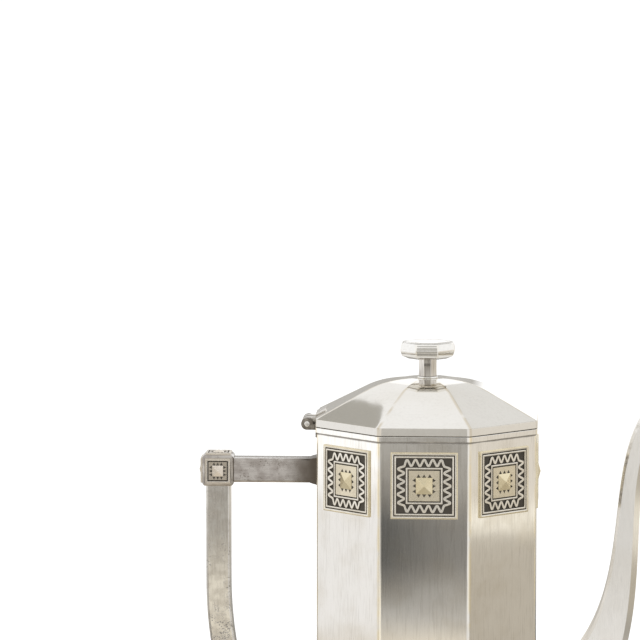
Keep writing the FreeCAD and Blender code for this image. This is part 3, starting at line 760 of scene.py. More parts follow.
    def _sweep(self) -> NodeTree:
        """Carries a rounded bar section along a path."""
        graph, given = self._begin("swept_bar", {
            "Width": "NodeSocketFloat", "Depth": "NodeSocketFloat", "Edge": "NodeSocketFloat",
            "Bend": "NodeSocketFloat", "Upright": "NodeSocketVector"})
        path = graph.add("GeometryNodeMeshToCurve", {0: given["Geometry"]}).outputs[0]
        bent = self._fillet(graph, path, given["Bend"])
        inputs = {"Curve": bent, "Normal": given["Upright"]}
        held = graph.add("GeometryNodeSetCurveNormal", inputs, mode="FREE").outputs[0]
        section = graph.add("GeometryNodeCurvePrimitiveQuadrilateral",
                            {"Width": given["Width"], "Height": given["Depth"]}).outputs[0]
        softened = self._fillet(graph, section, given["Edge"])
        scale = graph.add("GeometryNodeInputNamedAttribute", {"Name": "growth"}, data_type="FLOAT").outputs[0]
        grown = graph.math("ADD", scale, 1.0)
        bar = graph.add("GeometryNodeCurveToMesh", {"Curve": held, "Profile Curve": softened, "Scale": grown,
                                                    "Fill Caps": True}).outputs[0]
        height = graph.xyz(graph.add("GeometryNodeInputPosition").outputs[0])[2]
        return self._end(graph, self._mark(graph, bar, height), given["Material"], crease=self.BAR_CREASE)

    def _placing(self) -> NodeTree:
        """Puts a copy of a piece on each point, turned as the point says."""
        graph, given = self._begin("placed_copies", {"Piece": "NodeSocketObject"})
        piece = graph.add("GeometryNodeObjectInfo", {"Object": given["Piece"]}).outputs["Geometry"]
        euler = graph.add("GeometryNodeInputNamedAttribute", {"Name": "turn"}, data_type="FLOAT_VECTOR")
        turn = graph.add("FunctionNodeEulerToRotation", {0: euler.outputs[0]}).outputs[0]
        inputs = {"Points": given["Geometry"], "Instance": piece, "Rotation": turn}
        copies = graph.add("GeometryNodeInstanceOnPoints", inputs).outputs[0]
        return self._end(graph, copies, given["Material"])


def new_object(name: str, data: ID) -> Object:
    """Makes an object in the scene.

    Args:
        name: name of the object and its data.
        data: its mesh, light or camera.

    Returns:
        The new object.
    """
    data.name = name
    obj = bpy.data.objects.new(name, data)
    bpy.context.scene.collection.objects.link(obj)
    return obj


def line_mesh(points: Sequence[Vector], closed: bool = False) -> Mesh:
    """Makes a mesh of points joined in a line.

    Args:
        points: the points in order.
        closed: whether the last one is joined to the first.

    Returns:
        The mesh.
    """
    mesh = bpy.data.meshes.new("line")
    edges = [(index, index + 1) for index in range(len(points) - 1)]
    if closed:
        edges.append((len(points) - 1, 0))
    mesh.from_pydata([tuple(point) for point in points], edges, [])
    return mesh


def outward(mesh: Mesh) -> None:
    """Turns every face of a closed mesh outwards."""
    form = bmesh.new()
    form.from_mesh(mesh)
    bmesh.ops.recalc_face_normals(form, faces=form.faces)
    form.to_mesh(mesh)
    form.free()


class Maker:
    """Runs the geometry trees and keeps their plain meshes."""

    CORNER_FOCUS = 3.0

    def __init__(self, trees: ShapeTrees) -> None:
        """Keeps the trees."""
        self.trees = trees

    @staticmethod
    def run(obj: Object, tree: NodeTree, values: dict[str, object]) -> None:
        """Applies a tree to an object and leaves a plain mesh.

        Args:
            obj: the object whose mesh goes into the tree.
            tree: the tree.
            values: its inputs by name.
        """
        modifier = obj.modifiers.new("shape", "NODES")
        modifier.node_group = tree
        for item in tree.interface.items_tree:
            if item.item_type == "SOCKET" and item.in_out == "INPUT" and item.name in values:
                modifier[item.identifier] = values[item.name]
        graph = bpy.context.evaluated_depsgraph_get()
        mesh = bpy.data.meshes.new_from_object(obj.evaluated_get(graph), preserve_all_data_layers=True,
                                               depsgraph=graph)
        obj.modifiers.clear()
        obj.data = mesh
        mesh.name = obj.name
        mesh.materials.clear()
        mesh.materials.append(values["Material"])
        for face in mesh.polygons:
            face.material_index = 0
        outward(mesh)

    def turned(self, name: str, profile: Sequence[Point], material: Material, sharpness: float,
               sides: int = 8, steps: int = 18) -> Object:
        """Turns a profile into a many-sided piece about the pot's axis.

        Args:
            name: name of the piece.
            profile: reach from the axis, height and, where it isn't the height, relief of each point.
            material: its finish.
            sharpness: how tight the corners are.
            sides: number of flat sides.
            steps: columns of faces on each side.

        Returns:
            The piece.
        """
        points = [Vector((point[0], point[-1], point[1])) for point in profile]
        obj = new_object(name, line_mesh(points))
        self.run(obj, self.trees.turning, {"Sides": sides, "Steps": steps, "Corner Focus": self.CORNER_FOCUS,
                                           "Corner Sharpness": sharpness, "Material": material})
        return obj

    def swept(self, name: str, path: Mesh, material: Material, width: float, depth: float,
              edge: float, bend: float, upright: Vector) -> Object:
        """Carries a bar along a path.

        Args:
            name: name of the piece.
            path: mesh of the path, with the growth of the bar at each point.
            material: its finish.
            width: size of the bar along the upright direction.
            depth: size of the bar across it.
            edge: rounding of its edges.
            bend: rounding of the path's corners.
            upright: direction that the bar's width keeps to.

        Returns:
            The piece.
        """
        obj = new_object(name, path)
        self.run(obj, self.trees.sweep, {"Width": width, "Depth": depth, "Edge": edge, "Bend": bend,
                                         "Upright": upright, "Material": material})
        return obj

    def placed(self, name: str, piece: Object, places: Sequence[tuple[Vector, Vector]],
               material: Material) -> Object:
        """Copies a piece to several places as one mesh, and removes the original.

        Args:
            name: name of the new piece.
            piece: what is copied, facing +X.
            places: place and turn of each copy.
            material: its finish.

        Returns:
            The new piece.
        """
        mesh = line_mesh([place for place, _ in places])
        turns = mesh.attributes.new("turn", "FLOAT_VECTOR", "POINT")
        for index, (_, turn) in enumerate(places):
            turns.data[index].vector = turn
        obj = new_object(name, mesh)
        self.run(obj, self.trees.placing, {"Piece": piece, "Material": material})
        bpy.data.objects.remove(piece)
        return obj


def fit(piece: Object, body: Body, nodes: Sequence[str]) -> None:
    """Puts a finished piece on its body in place of its nodes.

    Args:
        piece: the piece.
        body: the body it moves with.
        nodes: the frame's nodes that it stands for.
    """
    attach(piece, body.value)
    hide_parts(*nodes)
    LOG.info("%s: %d faces on %s", piece.name, len(piece.data.polygons), body.value)


def dress(node: str, material: Material) -> None:
    """Gives a node of the frame its finish.

    Args:
        node: name of the node.
        material: the finish.
    """
    obj = bpy.data.objects[node]
    for slot in obj.material_slots:
        slot.material = material
    LOG.info("%s: %s", node, material.name)


def quarter_turns(steps: int) -> list[tuple[float, float]]:
    """Sine and cosine at even steps from 0 to 90 degrees."""
    turns = [math.pi / 2 * index / steps for index in range(steps + 1)]
    return [(math.sin(turn), math.cos(turn)) for turn in turns]


def ring_profile(inner: float, outer: float, low: float, high: float, edge: float,
                 lean: float = 0.0) -> list[Point]:
    """Closed profile of a band with softened outer edges.

    Args:
        inner: inside reach.
        outer: outside reach.
        low: lower height.
        high: upper height.
        edge: size of the softened edges.
        lean: how far the upper edge stands back.

    Returns:
        The profile's points.
    """
    hold = edge * EDGE_HOLD
    points = [(inner, low), (outer - hold, low)]
    points += [(outer - edge + edge * sine, low + edge - edge * cosine)
               for sine, cosine in quarter_turns(ARC_STEPS)]
    points += [(outer, low + hold), (outer - lean, high - hold)]
    points += [(outer - lean - edge + edge * cosine, high - edge + edge * sine)
               for sine, cosine in quarter_turns(ARC_STEPS)]
    points += [(outer - lean - hold, high), (inner, high), (inner, low)]
    return points


def solid_copy(node: str) -> bmesh.types.BMesh:
    """Copies a node's solid with its loose triangles joined.

    Args:
        node: node of the frame.

    Returns:
        The copy.
    """
    form = bmesh.new()
    form.from_mesh(bpy.data.objects[node].data)
    bmesh.ops.remove_doubles(form, verts=form.verts, dist=MERGE)
    return form


def smooth_piece(name: str, form: bmesh.types.BMesh, material: Material, crease: float) -> Object:
    """Makes a piece with smooth faces between its sharp edges.

    Args:
        name: name of the piece.
        form: its shape, which is freed.
        material: its finish.
        crease: angle in degrees above which an edge stays sharp.

    Returns:
        The piece.
    """
    mesh = bpy.data.meshes.new(name)
    form.to_mesh(mesh)
    form.free()
    mesh.materials.clear()
    mesh.materials.append(material)
    mesh.shade_smooth()
    mesh.set_sharp_from_angle(angle=math.radians(crease))
    return new_object(name, mesh)


@dataclass
class Vessel:
    """Walls, base plate, foot band and mouth rim."""

    maker: Maker
    finishes: Finishes
    edge: float = 0.16 * MM
    sides: int = 8
    columns: tuple[float, ...] = (0.2 * MM, 0.45 * MM, 0.75 * MM, 1.1 * MM, 1.5 * MM, 2.1 * MM)
    cut_depth: float = 0.2 * MM
    worn_depth: float = 0.25 * MM
    crease: float = 25.0
    foot_hold: float = 0.3 * MM
    foot_softness: float = 3.0
    rim_hold: float = 1.0 * MM

    FACING = 0.99
    CUT_GAP = 1e-7

    def facets(self) -> list[Vector]:
        """Outward directions of the flat sides."""
        turns = [2.0 * math.pi * index / self.sides for index in range(self.sides)]
        return [Vector((math.cos(turn), math.sin(turn), 0.0)) for turn in turns]

    def cut_columns(self, form: bmesh.types.BMesh, wall: float) -> None:
        """Cuts upright lines into the outer faces beside each corner.

        Args:
            form: mesh of the walls.
            wall: reach of the flat sides.
        """
        half = wall * math.tan(math.pi / self.sides)
        for normal in self.facets():
            along = Vector((-normal.y, normal.x, 0.0))
            for place in [sign * (half - inset) for inset in self.columns for sign in (-1.0, 1.0)]:
                faces = [face for face in form.faces if face.normal.dot(normal) > self.FACING
                         and face.verts[0].co.dot(normal) > wall - self.cut_depth]
                edges = {edge for face in faces for edge in face.edges}
                verts = {vert for face in faces for vert in face.verts}
                bmesh.ops.bisect_plane(form, geom=[*verts, *edges, *faces], dist=self.CUT_GAP,
                                       plane_co=along * place, plane_no=along)

    def rounded_walls(self) -> Object:
        """Copies the walls with their outer corners worn round."""
        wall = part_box("body_walls")[1].y
        form = solid_copy("body_walls")
        self.cut_columns(form, wall)
        for vertex in form.verts:
            reaches = [max(vertex.co.dot(normal), 0.0) for normal in self.facets()]
            reach = max(reaches)
            if reach > wall - self.worn_depth:
                total = sum((part / reach) ** CORNER_SHARPNESS for part in reaches)
                worn = total ** (-1.0 / CORNER_SHARPNESS)
                vertex.co.x *= worn
                vertex.co.y *= worn
        return smooth_piece("body_walls_worn", form, self.finishes.silver, self.crease)

    def build(self) -> None:
        """Builds the walls and the two bands and dresses the base."""
        fit(self.rounded_walls(), Body.POT, ["body_walls"])
        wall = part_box("body_walls")[1].y
        bands = (("foot_band", self.foot_hold, self.edge * self.foot_softness),
                 ("mouth_rim", self.rim_hold, self.edge))
        for node, hold, edge in bands:
            low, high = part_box(node)
            profile = ring_profile(wall - hold, high.y, low.z, high.z, edge)
            piece = self.maker.turned(node + "_moulding", profile, self.finishes.silver, CORNER_SHARPNESS)
            fit(piece, Body.POT, [node])
        dress("base_plate", self.finishes.inside)


@dataclass
class Lid:
    """Domed eight-panelled cover with its band and inner flange."""

    maker: Maker
    finishes: Finishes
    wall: float = 1.0 * MM
    rise: float = 15.6 * MM
    slope: float = 0.535
    crown_reach: float = 26.0 * MM
    stud_hole: float = 1.55 * MM
    edge: float = 0.16 * MM
    band_lean: float = 0.052
    foot_edge: float = 0.12 * MM
    foot_step: float = 0.05 * MM
    rows: int = 28
    steps: int = 20
    sharpness: float = 300.0

    def arch(self, half: float, rise: float, reach: float) -> float:
        """Height of a panel at a reach from the axis: straight at first, then bowed over to the crown.

        Args:
            half: reach of the panel's foot.
            rise: height of its crown.
            reach: place on it.

        Returns:
            Height above the foot.
        """
        straight = self.slope * (half - reach)
        if reach >= self.crown_reach:
            return straight
        shoulder = self.slope * (half - self.crown_reach)
        power = self.slope * self.crown_reach / (rise - shoulder)
        return rise - (rise - shoulder) * (reach / self.crown_reach) ** power

    def dome_profile(self) -> list[Point]:
        """Closed profile of the dome from its outer foot to its inner one."""
        low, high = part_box("lid_dome")
        half = high.y
        inside = half - self.wall
        crown = high.z - low.z
        points = [(half - self.foot_edge, low.z)]
        for index in range(self.rows + 1):
            reach = half - self.foot_step - (half - self.stud_hole) * index / self.rows
            height = min(self.arch(half, self.rise, reach), crown)
            points.append((max(reach, self.stud_hole), low.z + height))
        for index in range(self.rows + 1):
            reach = self.stud_hole + (inside - self.stud_hole) * index / self.rows
            points.append((reach, low.z + self.arch(inside, self.rise - self.wall, reach)))
        points.append(points[0])
        return points

    def build(self) -> None:
        """Builds dome and band and dresses the flange."""
        dome = self.maker.turned("lid_dome_panels", self.dome_profile(), self.finishes.lid, self.sharpness,
                                 steps=self.steps)
        fit(dome, Body.LID, ["lid_dome"])
        low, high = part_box("lid_band")
        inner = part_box("lid_bezel")[1].y
        profile = ring_profile(inner, high.y, low.z, high.z, self.edge, (high.z - low.z) * self.band_lean)
        band = self.maker.turned("lid_band_moulding", profile, self.finishes.lid, CORNER_SHARPNESS)
        fit(band, Body.LID, ["lid_band"])
        dress("lid_bezel", self.finishes.inside)


@dataclass
class Finial:
    """Ring, stem and button knob, held by a stud and nut."""

    maker: Maker
    finishes: Finishes
    shoulder: float = 0.9 * MM
    under_inset: float = 2.6 * MM
    under_height: float = 1.2 * MM
    under_edge: tuple[float, float] = (0.35 * MM, 0.16 * MM)
    stud_hole: float = Lid.stud_hole
    top_edge: float = 0.6 * MM
    dish: float = 0.5 * MM
    ring_edge: float = 0.3 * MM
    waist: float = 0.05 * MM
    side_rows: int = 11
    edge_rows: int = 5
    top_rows: int = 6
    stem_rows: int = 10
    steps: int = 8
    sharpness: float = 160.0
    knob_steps: int = 14
    knob_sharpness: float = 220.0

    def knob_profile(self) -> list[Point]:
        """Profile of the button from the middle of its underside to the middle of its top."""
        low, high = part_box("finial_knob")
        half = high.y
        inner = half - self.shoulder
        bottom = low.z + self.under_height
        middle = (bottom + high.z) / 2
        span = (high.z - bottom) / 2
        aside, down = self.under_edge
        points = [(0.0, low.z), (inner - self.under_inset, low.z), (inner - aside, bottom - down),
                  (inner, bottom)]
        for index in range(1, self.side_rows + 1):
            height = bottom + (high.z - self.top_edge - bottom) * index / self.side_rows
            bow = 1.0 - ((height - middle) / span) ** 2
            points.append((inner + self.shoulder * bow, height))
        edge = points[-1][0]
        points += [(edge - self.top_edge * (1.0 - cosine), high.z - self.top_edge * (1.0 - sine))
                   for sine, cosine in quarter_turns(self.edge_rows)[1:]]
        edge = points[-1][0]
        for index in range(1, self.top_rows + 1):
            share = 1.0 - index / self.top_rows
            points.append((edge * share, high.z - self.dish * (1.0 - share * share)))
        return points

    def build(self) -> None:
        """Builds ring, stem and knob and dresses the fastening."""
        ring_low, ring_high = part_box("finial_ring")
        ring = ring_profile(self.stud_hole, ring_high.y, ring_low.z, ring_high.z, self.ring_edge)
        low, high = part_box("finial_stem")
        stem = [(self.stud_hole, low.z)]
        for index in range(self.stem_rows + 1):
            share = index / self.stem_rows
            bow = 1.0 - (2.0 * share - 1.0) ** 2
            stem.append((high.y - self.waist * bow, low.z + (high.z - low.z) * share))
        stem.append((self.stud_hole, high.z))
        stem.append(stem[0])
        pieces = (
            ("finial_ring", "_bead", ring, self.finishes.finial, self.steps, self.sharpness),
            ("finial_stem", "_post", stem, self.finishes.stem, self.steps, self.sharpness),
            ("finial_knob", "_button", self.knob_profile(), self.finishes.finial, self.knob_steps,
             self.knob_sharpness))
        for node, kind, profile, finish, steps, sharpness in pieces:
            piece = self.maker.turned(node + kind, profile, finish, sharpness, steps=steps)
            fit(piece, Body.LID, [node])
        dress("finial_stud", self.finishes.hinge)
        dress("finial_nut", self.finishes.hinge)


def softened_copy(name: str, node: str, width: float, material: Material,
                  crease: float = 38.0) -> Object:
    """Copies a node's solid with softened edges.

    Args:
        name: name of the new piece.
        node: node of the frame that is copied.
        width: width of the softened edges.
        material: its finish.
        crease: angle in degrees above which an edge stays sharp.

    Returns:
        The new piece.
    """
    form = solid_copy(node)
    bmesh.ops.dissolve_limit(form, angle_limit=FLAT_ANGLE, verts=form.verts, edges=form.edges)
    bmesh.ops.recalc_face_normals(form, faces=form.faces)
    sharp = [edge for edge in form.edges if len(edge.link_faces) == 2
             and edge.calc_face_angle(0.0) > SHARP_ANGLE and edge.is_convex]
    bmesh.ops.bevel(form, geom=sharp, offset=width, segments=BEVEL_STEPS, profile=BEVEL_ROUNDNESS,
                    affect="EDGES", clamp_overlap=True)
    return smooth_piece(name, form, material, crease)


@dataclass
class Hinge:
    """Two leaves with their knuckles, and the pin with bright ends."""

    finishes: Finishes
    lid: Lid
    edge: float = 0.12 * MM
    pin_edge: float = 0.3 * MM

    def lay_strap(self, leaf: Object) -> None:
        """Lays the strap of the lid leaf down on the straight panel under it."""
        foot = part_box("lid_dome")
        half = foot[1].y
        rise = self.lid.rise
        radius = (half * half + rise * rise) / (2.0 * rise)
        for vertex in leaf.data.vertices:
            reach = -vertex.co.x
            if reach < half and vertex.co.z > foot[0].z:
                bowed = math.sqrt(radius * radius - reach * reach) - radius + rise
                vertex.co.z -= bowed - self.lid.arch(half, rise, reach)

    def build(self) -> None:
        """Builds the softened leaves and the pin."""
        leaves = (("hinge_body_leaf", Body.POT, self.finishes.hinge),
                  ("hinge_lid_leaf", Body.LID, self.finishes.strap))
        for node, body, material in leaves:
            piece = softened_copy(node + "_softened", node, self.edge, material)
            if body is Body.LID:
                self.lay_strap(piece)
            fit(piece, body, [node])
        pin = softened_copy("hinge_pin_polished", "hinge_pin", self.pin_edge, self.finishes.pin)
        fit(pin, Body.POT, ["hinge_pin"])


@dataclass
class Spout:
    """Flat-sided spout with an S-curved run, open at its mouth."""

    finishes: Finishes

    def build(self) -> None:
        """Dresses the four sheets of the spout."""
        for part in ("front_side", "back_side", "inner_strip", "outer_strip"):
            dress("spout_" + part, self.finishes.spout)


@dataclass
class Handle:
    """Upper bar, corner block and grip that bends in to the wall."""

    maker: Maker
    finishes: Finishes
    bar: float = 10.2 * MM
    edge: float = 0.9 * MM
    fine_edge: float = 0.25 * MM
    straight: float = 40.2 * MM
    heel_radius: float = 30.5 * MM
    low_height: float = 14.0 * MM
    flare_length: float = 3.6 * MM
    flare_growth: float = 0.9 * MM
    straight_steps: int = 8
    arc_steps: int = 24
    heel_steps: int = 20
    crease: float = 12.0

    def grip_path(self) -> Mesh:
        """Path of the grip: a straight run, a long arc and a short one to the wall."""
        block_low, block_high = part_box("handle_corner_block")
        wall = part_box("body_walls")[0].x
        grip_x = (block_low.x + block_high.x) / 2
        top = block_low.z
        bend = top - self.straight
        reach = wall - grip_x
        spare = bend - self.low_height - self.heel_radius
        radius = (spare**2 + reach**2 - self.heel_radius**2) / (2.0 * (reach - self.heel_radius))
        centre = Vector((grip_x + radius, 0.0, bend))
        heel = Vector((wall, 0.0, self.low_height + self.heel_radius))
        way = (heel - centre).normalized()
        joint = math.atan2(-way.z, -way.x)
        points = [Vector((grip_x, 0.0, top - self.straight * index / self.straight_steps))
                  for index in range(self.straight_steps)]
        for index in range(self.arc_steps + 1):
            turn = joint * index / self.arc_steps
            points.append(centre + Vector((-math.cos(turn), 0.0, -math.sin(turn))) * radius)
        for index in range(1, self.heel_steps + 1):
            turn = joint + (math.pi / 2 - joint) * index / self.heel_steps
            points.append(heel + Vector((-math.cos(turn), 0.0, -math.sin(turn))) * self.heel_radius)
        mesh = line_mesh(points)
        growth = mesh.attributes.new("growth", "FLOAT", "POINT")
        for index, point in enumerate(points):
            share = 1.0 - (wall - point.x) / self.flare_length
            growth.data[index].value = max(share, 0.0) * 2.0 * self.flare_growth / self.bar
        return mesh

    def build(self) -> None:
        """Builds the grip and the softened bar and block."""
        grip = self.maker.swept("handle_grip_bar", self.grip_path(), self.finishes.grip, self.bar, self.bar,
                                self.edge, 0.0, Vector((0.0, 1.0, 0.0)))
        fit(grip, Body.POT, ["handle_grip"])
        for node in ("handle_upper_bar", "handle_corner_block"):
            piece = softened_copy(node + "_softened", node, self.fine_edge, self.finishes.bar, self.crease)
            fit(piece, Body.POT, [node])


@dataclass
class Plaque:
    """Stamped square plaque with its pyramid, facing +Z before it is placed."""

    maker: Maker
    finishes: Finishes
    size: float
    steps: tuple[float, ...]
    pyramid: float
    pyramid_height: float
    notch_width: float
    base: float = 0.3 * MM
    relief: float = 0.8 * MM
    field: float = 0.7 * MM
    notch_length: float = 1.35 * MM
    notch_depth: float = 0.25 * MM
    notch_count: int = 3
    edge: float = 0.18 * MM
    warm_rise: float = 0.1 * MM
    foot: float = 0.1 * MM
    foot_inset: float = 0.03 * MM
    pyramid_rows: int = 12
    point: tuple[float, float] = (0.03, 0.985)
    columns: int = 10
    frame_sharpness: float = 260.0
    pyramid_sharpness: float = 90.0

    SIDES = 4
    EDGE_SHARE = 0.3
    NEAR = 1e-7
    LEVEL_GAP = 1e-9

    def frame_profile(self) -> list[Point]:
        """Profile across the border, grooves and frames, closed at the back."""
        reach = self.size / 2
        edge = self.edge
        soft = edge * self.EDGE_SHARE
        warm = self.relief + self.warm_rise
        points = [(0.0, 0.0), (reach, 0.0, warm)]
        outermost = True
        raised = True
        for width in self.steps:
            inner = reach - width
            if raised:
                mark = warm if outermost else self.relief
                if not outermost:
                    points.append((reach, self.base))
                points += [(reach, self.relief - edge, mark), (reach - soft, self.relief - soft, mark),
                           (reach - edge, self.relief, mark), (inner + edge, self.relief),
                           (inner + soft, self.relief - soft), (inner, self.relief - edge),
                           (inner, self.base)]
            outermost = False
            raised = not raised
            reach = inner
        points.append((0.0, self.base))
        return points

    def field_half(self) -> float:
        """Half the size of the middle field."""
        return self.size / 2 - sum(self.steps)

    def field_mesh(self) -> Mesh:
        """Raised field with triangular notches round the pyramid."""
        half = self.field_half()
        edge = self.pyramid / 2
        corners = [Vector(corner) for corner in ((-half, -half), (half, -half), (half, half), (-half, half))]
        faces = [[0, 1, 2, 3]]
        for turn in range(self.SIDES):
            spin = Matrix.Rotation(turn * math.pi / 2, 2)
            for index in range(self.notch_count):
                middle = (index - (self.notch_count - 1) / 2) * self.pyramid / self.notch_count
                start = len(corners)
                corners += [spin @ Vector((middle - self.notch_width / 2, edge)),
                            spin @ Vector((middle, edge + self.notch_length)),
                            spin @ Vector((middle + self.notch_width / 2, edge))]
                faces.append([start, start + 2, start + 1])
        spots, _, cells, _, _, sources = delaunay_2d_cdt(corners, [], faces, 1, self.NEAR)
        form = bmesh.new()
        level = form.verts.layers.float.new("relief")

        def vertex(spot: Vector, height: float) -> bmesh.types.BMVert:
            """Adds a vertex that keeps its height as relief."""
            made = form.verts.new((spot.x, spot.y, height))
            made[level] = height
            return made

        top = [vertex(spot, self.field) for spot in spots]
        floor = self.field - self.notch_depth
        for cell, source in zip(cells, sources):
            if any(face > 0 for face in source):
                low = [vertex(spots[index], floor) for index in cell]
                form.faces.new(low)
                for index in range(len(cell)):
                    after = (index + 1) % len(cell)
                    form.faces.new((top[cell[index]], top[cell[after]], low[after], low[index]))
            else:
                form.faces.new([top[index] for index in cell])
        rim = [edge for edge in form.edges if len(edge.link_faces) == 1
               and all(abs(vert.co.z - self.field) < self.LEVEL_GAP for vert in edge.verts)]
        extruded = bmesh.ops.extrude_edge_only(form, edges=rim)["geom"]
        for item in extruded:
            if isinstance(item, bmesh.types.BMVert):
                item.co.z = self.base
                item[level] = self.base
        foot = [item for item in extruded if isinstance(item, bmesh.types.BMEdge) and item.is_boundary]
        bmesh.ops.holes_fill(form, edges=foot)
        mesh = bpy.data.meshes.new("field")
        form.to_mesh(mesh)
        form.free()
        return mesh

    def pyramid_piece(self, name: str) -> Object:
        """Pyramid with softened foot and point."""
        half = self.pyramid / 2
        foot = self.field + self.foot
        rise = self.pyramid_height - self.foot
        profile = [(0.0, self.field), (half, self.field), (half - self.foot_inset, foot)]
        for index in range(1, self.pyramid_rows):
            share = index / self.pyramid_rows
            profile.append((half * (1.0 - share), foot + rise * share))
        reach, height = self.point
        profile.append((half * reach, self.field + self.pyramid_height * height))
        profile.append((0.0, self.field + self.pyramid_height))
        return self.maker.turned(name, profile, self.finishes.gilt, self.pyramid_sharpness, self.SIDES,
                                 self.columns)

    def plaque_piece(self, name: str) -> Object:
        """Frames and field as one local piece."""
        frames = self.maker.turned(name, self.frame_profile(), self.finishes.plaque, self.frame_sharpness,
                                   self.SIDES, self.columns)
        field = new_object(name + "_field", self.field_mesh())
        return joined(frames, [field])

    def spread(self, group: str, plaque: Object, places: Sequence[tuple[Vector, Vector]],
               finishes: tuple[Material, Material],
               nodes: tuple[Sequence[str], Sequence[str]]) -> None:
        """Copies plaque and pyramid to their places and fits them to the pot.

        Args:
            group: where they sit, the first word of their names.
            plaque: the local plaque.
            places: place and turn of each copy.
            finishes: finish of the plaques and of the pyramids.
            nodes: the frame's nodes that the plaques and the pyramids stand for.
        """
        gilt = self.pyramid_piece(group + "_pyramid")
        for kind, piece, finish, slot, stands_for in (
                ("_plaques", plaque, finishes[0], Slot.PLAQUE, nodes[0]),
                ("_pyramids", gilt, finishes[1], Slot.GILT, nodes[1])):
            copies = self.maker.placed(group + kind, face_outwards(piece), places, finish)
            fit(copies, Body.POT, stands_for)


def joined(piece: Object, others: Sequence[Object]) -> Object:
    """Joins other pieces into one, with their reliefs.

    Args:
        piece: the piece that stays.
        others: the pieces that go into it.

    Returns:
        The piece.
    """
    form = bmesh.new()
    form.from_mesh(piece.data)
    for other in others:
        form.from_mesh(other.data)
        bpy.data.objects.remove(other)
    form.to_mesh(piece.data)
    form.free()
    return piece


def face_outwards(piece: Object) -> Object:
    """Turns a local piece from +Z to +X, with its Y side up."""
    piece.data.transform(Matrix(((0, 0, 1, 0), (1, 0, 0, 0), (0, 1, 0, 0), (0, 0, 0, 1))))
    return piece


@dataclass
class WallPlaques(Plaque):
    """Plaques with a zigzag wire and a gilt pyramid on seven facets."""

    size: float = 27.9 * MM
    steps: tuple[float, ...] = (1.15 * MM, 0.4 * MM, 0.75 * MM, 4.0 * MM, 0.75 * MM, 0.5 * MM)
    pyramid: float = 7.0 * MM
    pyramid_height: float = 1.1 * MM
    notch_width: float = 1.7 * MM
    wire: float = 0.95 * MM
    bend: float = 0.42 * MM
    teeth: int = 4
    pitch: float = 3.575 * MM
    clear: float = 0.1 * MM
    wire_edge: float = 0.12 * MM

    FACETS = {"front": 270, "front_right": 315, "spout_side": 0, "back_right": 45, "back": 90,
              "back_left": 135, "front_left": 225}

    def zigzag_path(self) -> Mesh:
        """Closed path of the wire round the plaque's band."""
        inner_edge = self.size / 2 - sum(self.steps[:4])
        outer_edge = self.size / 2 - sum(self.steps[:3])
        half_turn = math.atan2(self.pitch / 2, outer_edge - inner_edge - self.wire)
        drawn_in = self.bend * (1.0 / math.sin(half_turn) - 1.0)
        corner = inner_edge + self.wire / 2 + self.clear
        inner = corner - drawn_in
        outer = outer_edge - self.wire / 2 - self.clear + drawn_in
        points = []
        for turn in range(self.SIDES):
            spin = Matrix.Rotation(turn * math.pi / 2, 3, "Z")
            points.append(spin @ Vector((corner, corner, 0.0)))
            for index in range(2 * self.teeth + 1):
                along = (self.teeth - index) * self.pitch / 2
                points.append(spin @ Vector((along, outer if index % 2 == 0 else inner, 0.0)))
        return line_mesh(points, closed=True)

    def build(self) -> None:
        """Builds one plaque and places it on each facet."""
        rise = self.relief - self.base
        wire = self.maker.swept("zigzag", self.zigzag_path(), self.finishes.plaque, rise, self.wire,
                                self.wire_edge, self.bend, Vector((0.0, 0.0, 1.0)))
        wire.data.transform(Matrix.Translation((0.0, 0.0, self.base + rise / 2)))
        for value, vertex in zip(wire.data.attributes["relief"].data, wire.data.vertices):
            value.value = vertex.co.z
        plaque = joined(self.plaque_piece("wall_plaque"), [wire])
        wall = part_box("body_walls")[1].y
        low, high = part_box("plaque_front")
        height = (low.z + high.z) / 2
        places = []
        for degrees in self.FACETS.values():
            turn = math.radians(degrees)
            place = Vector((wall * math.cos(turn), wall * math.sin(turn), height))
            places.append((place, Vector((0.0, 0.0, turn))))
        plaques = [kind + place for kind in ("plaque_", "zigzag_") for place in self.FACETS]
        pyramids = ["pyramid_" + place for place in self.FACETS]
        self.spread("wall", plaque, places, (self.finishes.plaque, self.finishes.gilt), (plaques, pyramids))


@dataclass
class BlockPlaques(Plaque):
    """Small plaques and pyramids on four faces of the handle's corner block."""

    size: float = 10.6 * MM
    steps: tuple[float, ...] = (1.0 * MM, 0.45 * MM)
    pyramid: float = 4.7 * MM
    pyramid_height: float = 0.9 * MM
    notch_width: float = 1.3 * MM

    TURNS = {"front": (0, 0, -90), "back": (0, 0, 90), "outer": (0, 0, 180), "top": (0, -90, 0)}

    def build(self) -> None:
        """Builds one plaque and places it on each face of the block."""
        low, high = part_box("handle_corner_block")
        centre = (low + high) / 2
        reach = (high.y - low.y) / 2
        places = []
        for degrees in self.TURNS.values():
            turn = Vector([math.radians(part) for part in degrees])
            spin = Matrix.Rotation(turn.z, 3, "Z") @ Matrix.Rotation(turn.y, 3, "Y")
            places.append((centre + spin @ Vector((1.0, 0.0, 0.0)) * reach, turn))
        plaques = ["handle_plaque_" + place for place in self.TURNS]
        pyramids = ["handle_pyramid_" + place for place in self.TURNS]
        self.spread("block", self.plaque_piece("block_plaque"), places,
                    (self.finishes.block_plaque, self.finishes.block_point), (plaques, pyramids))


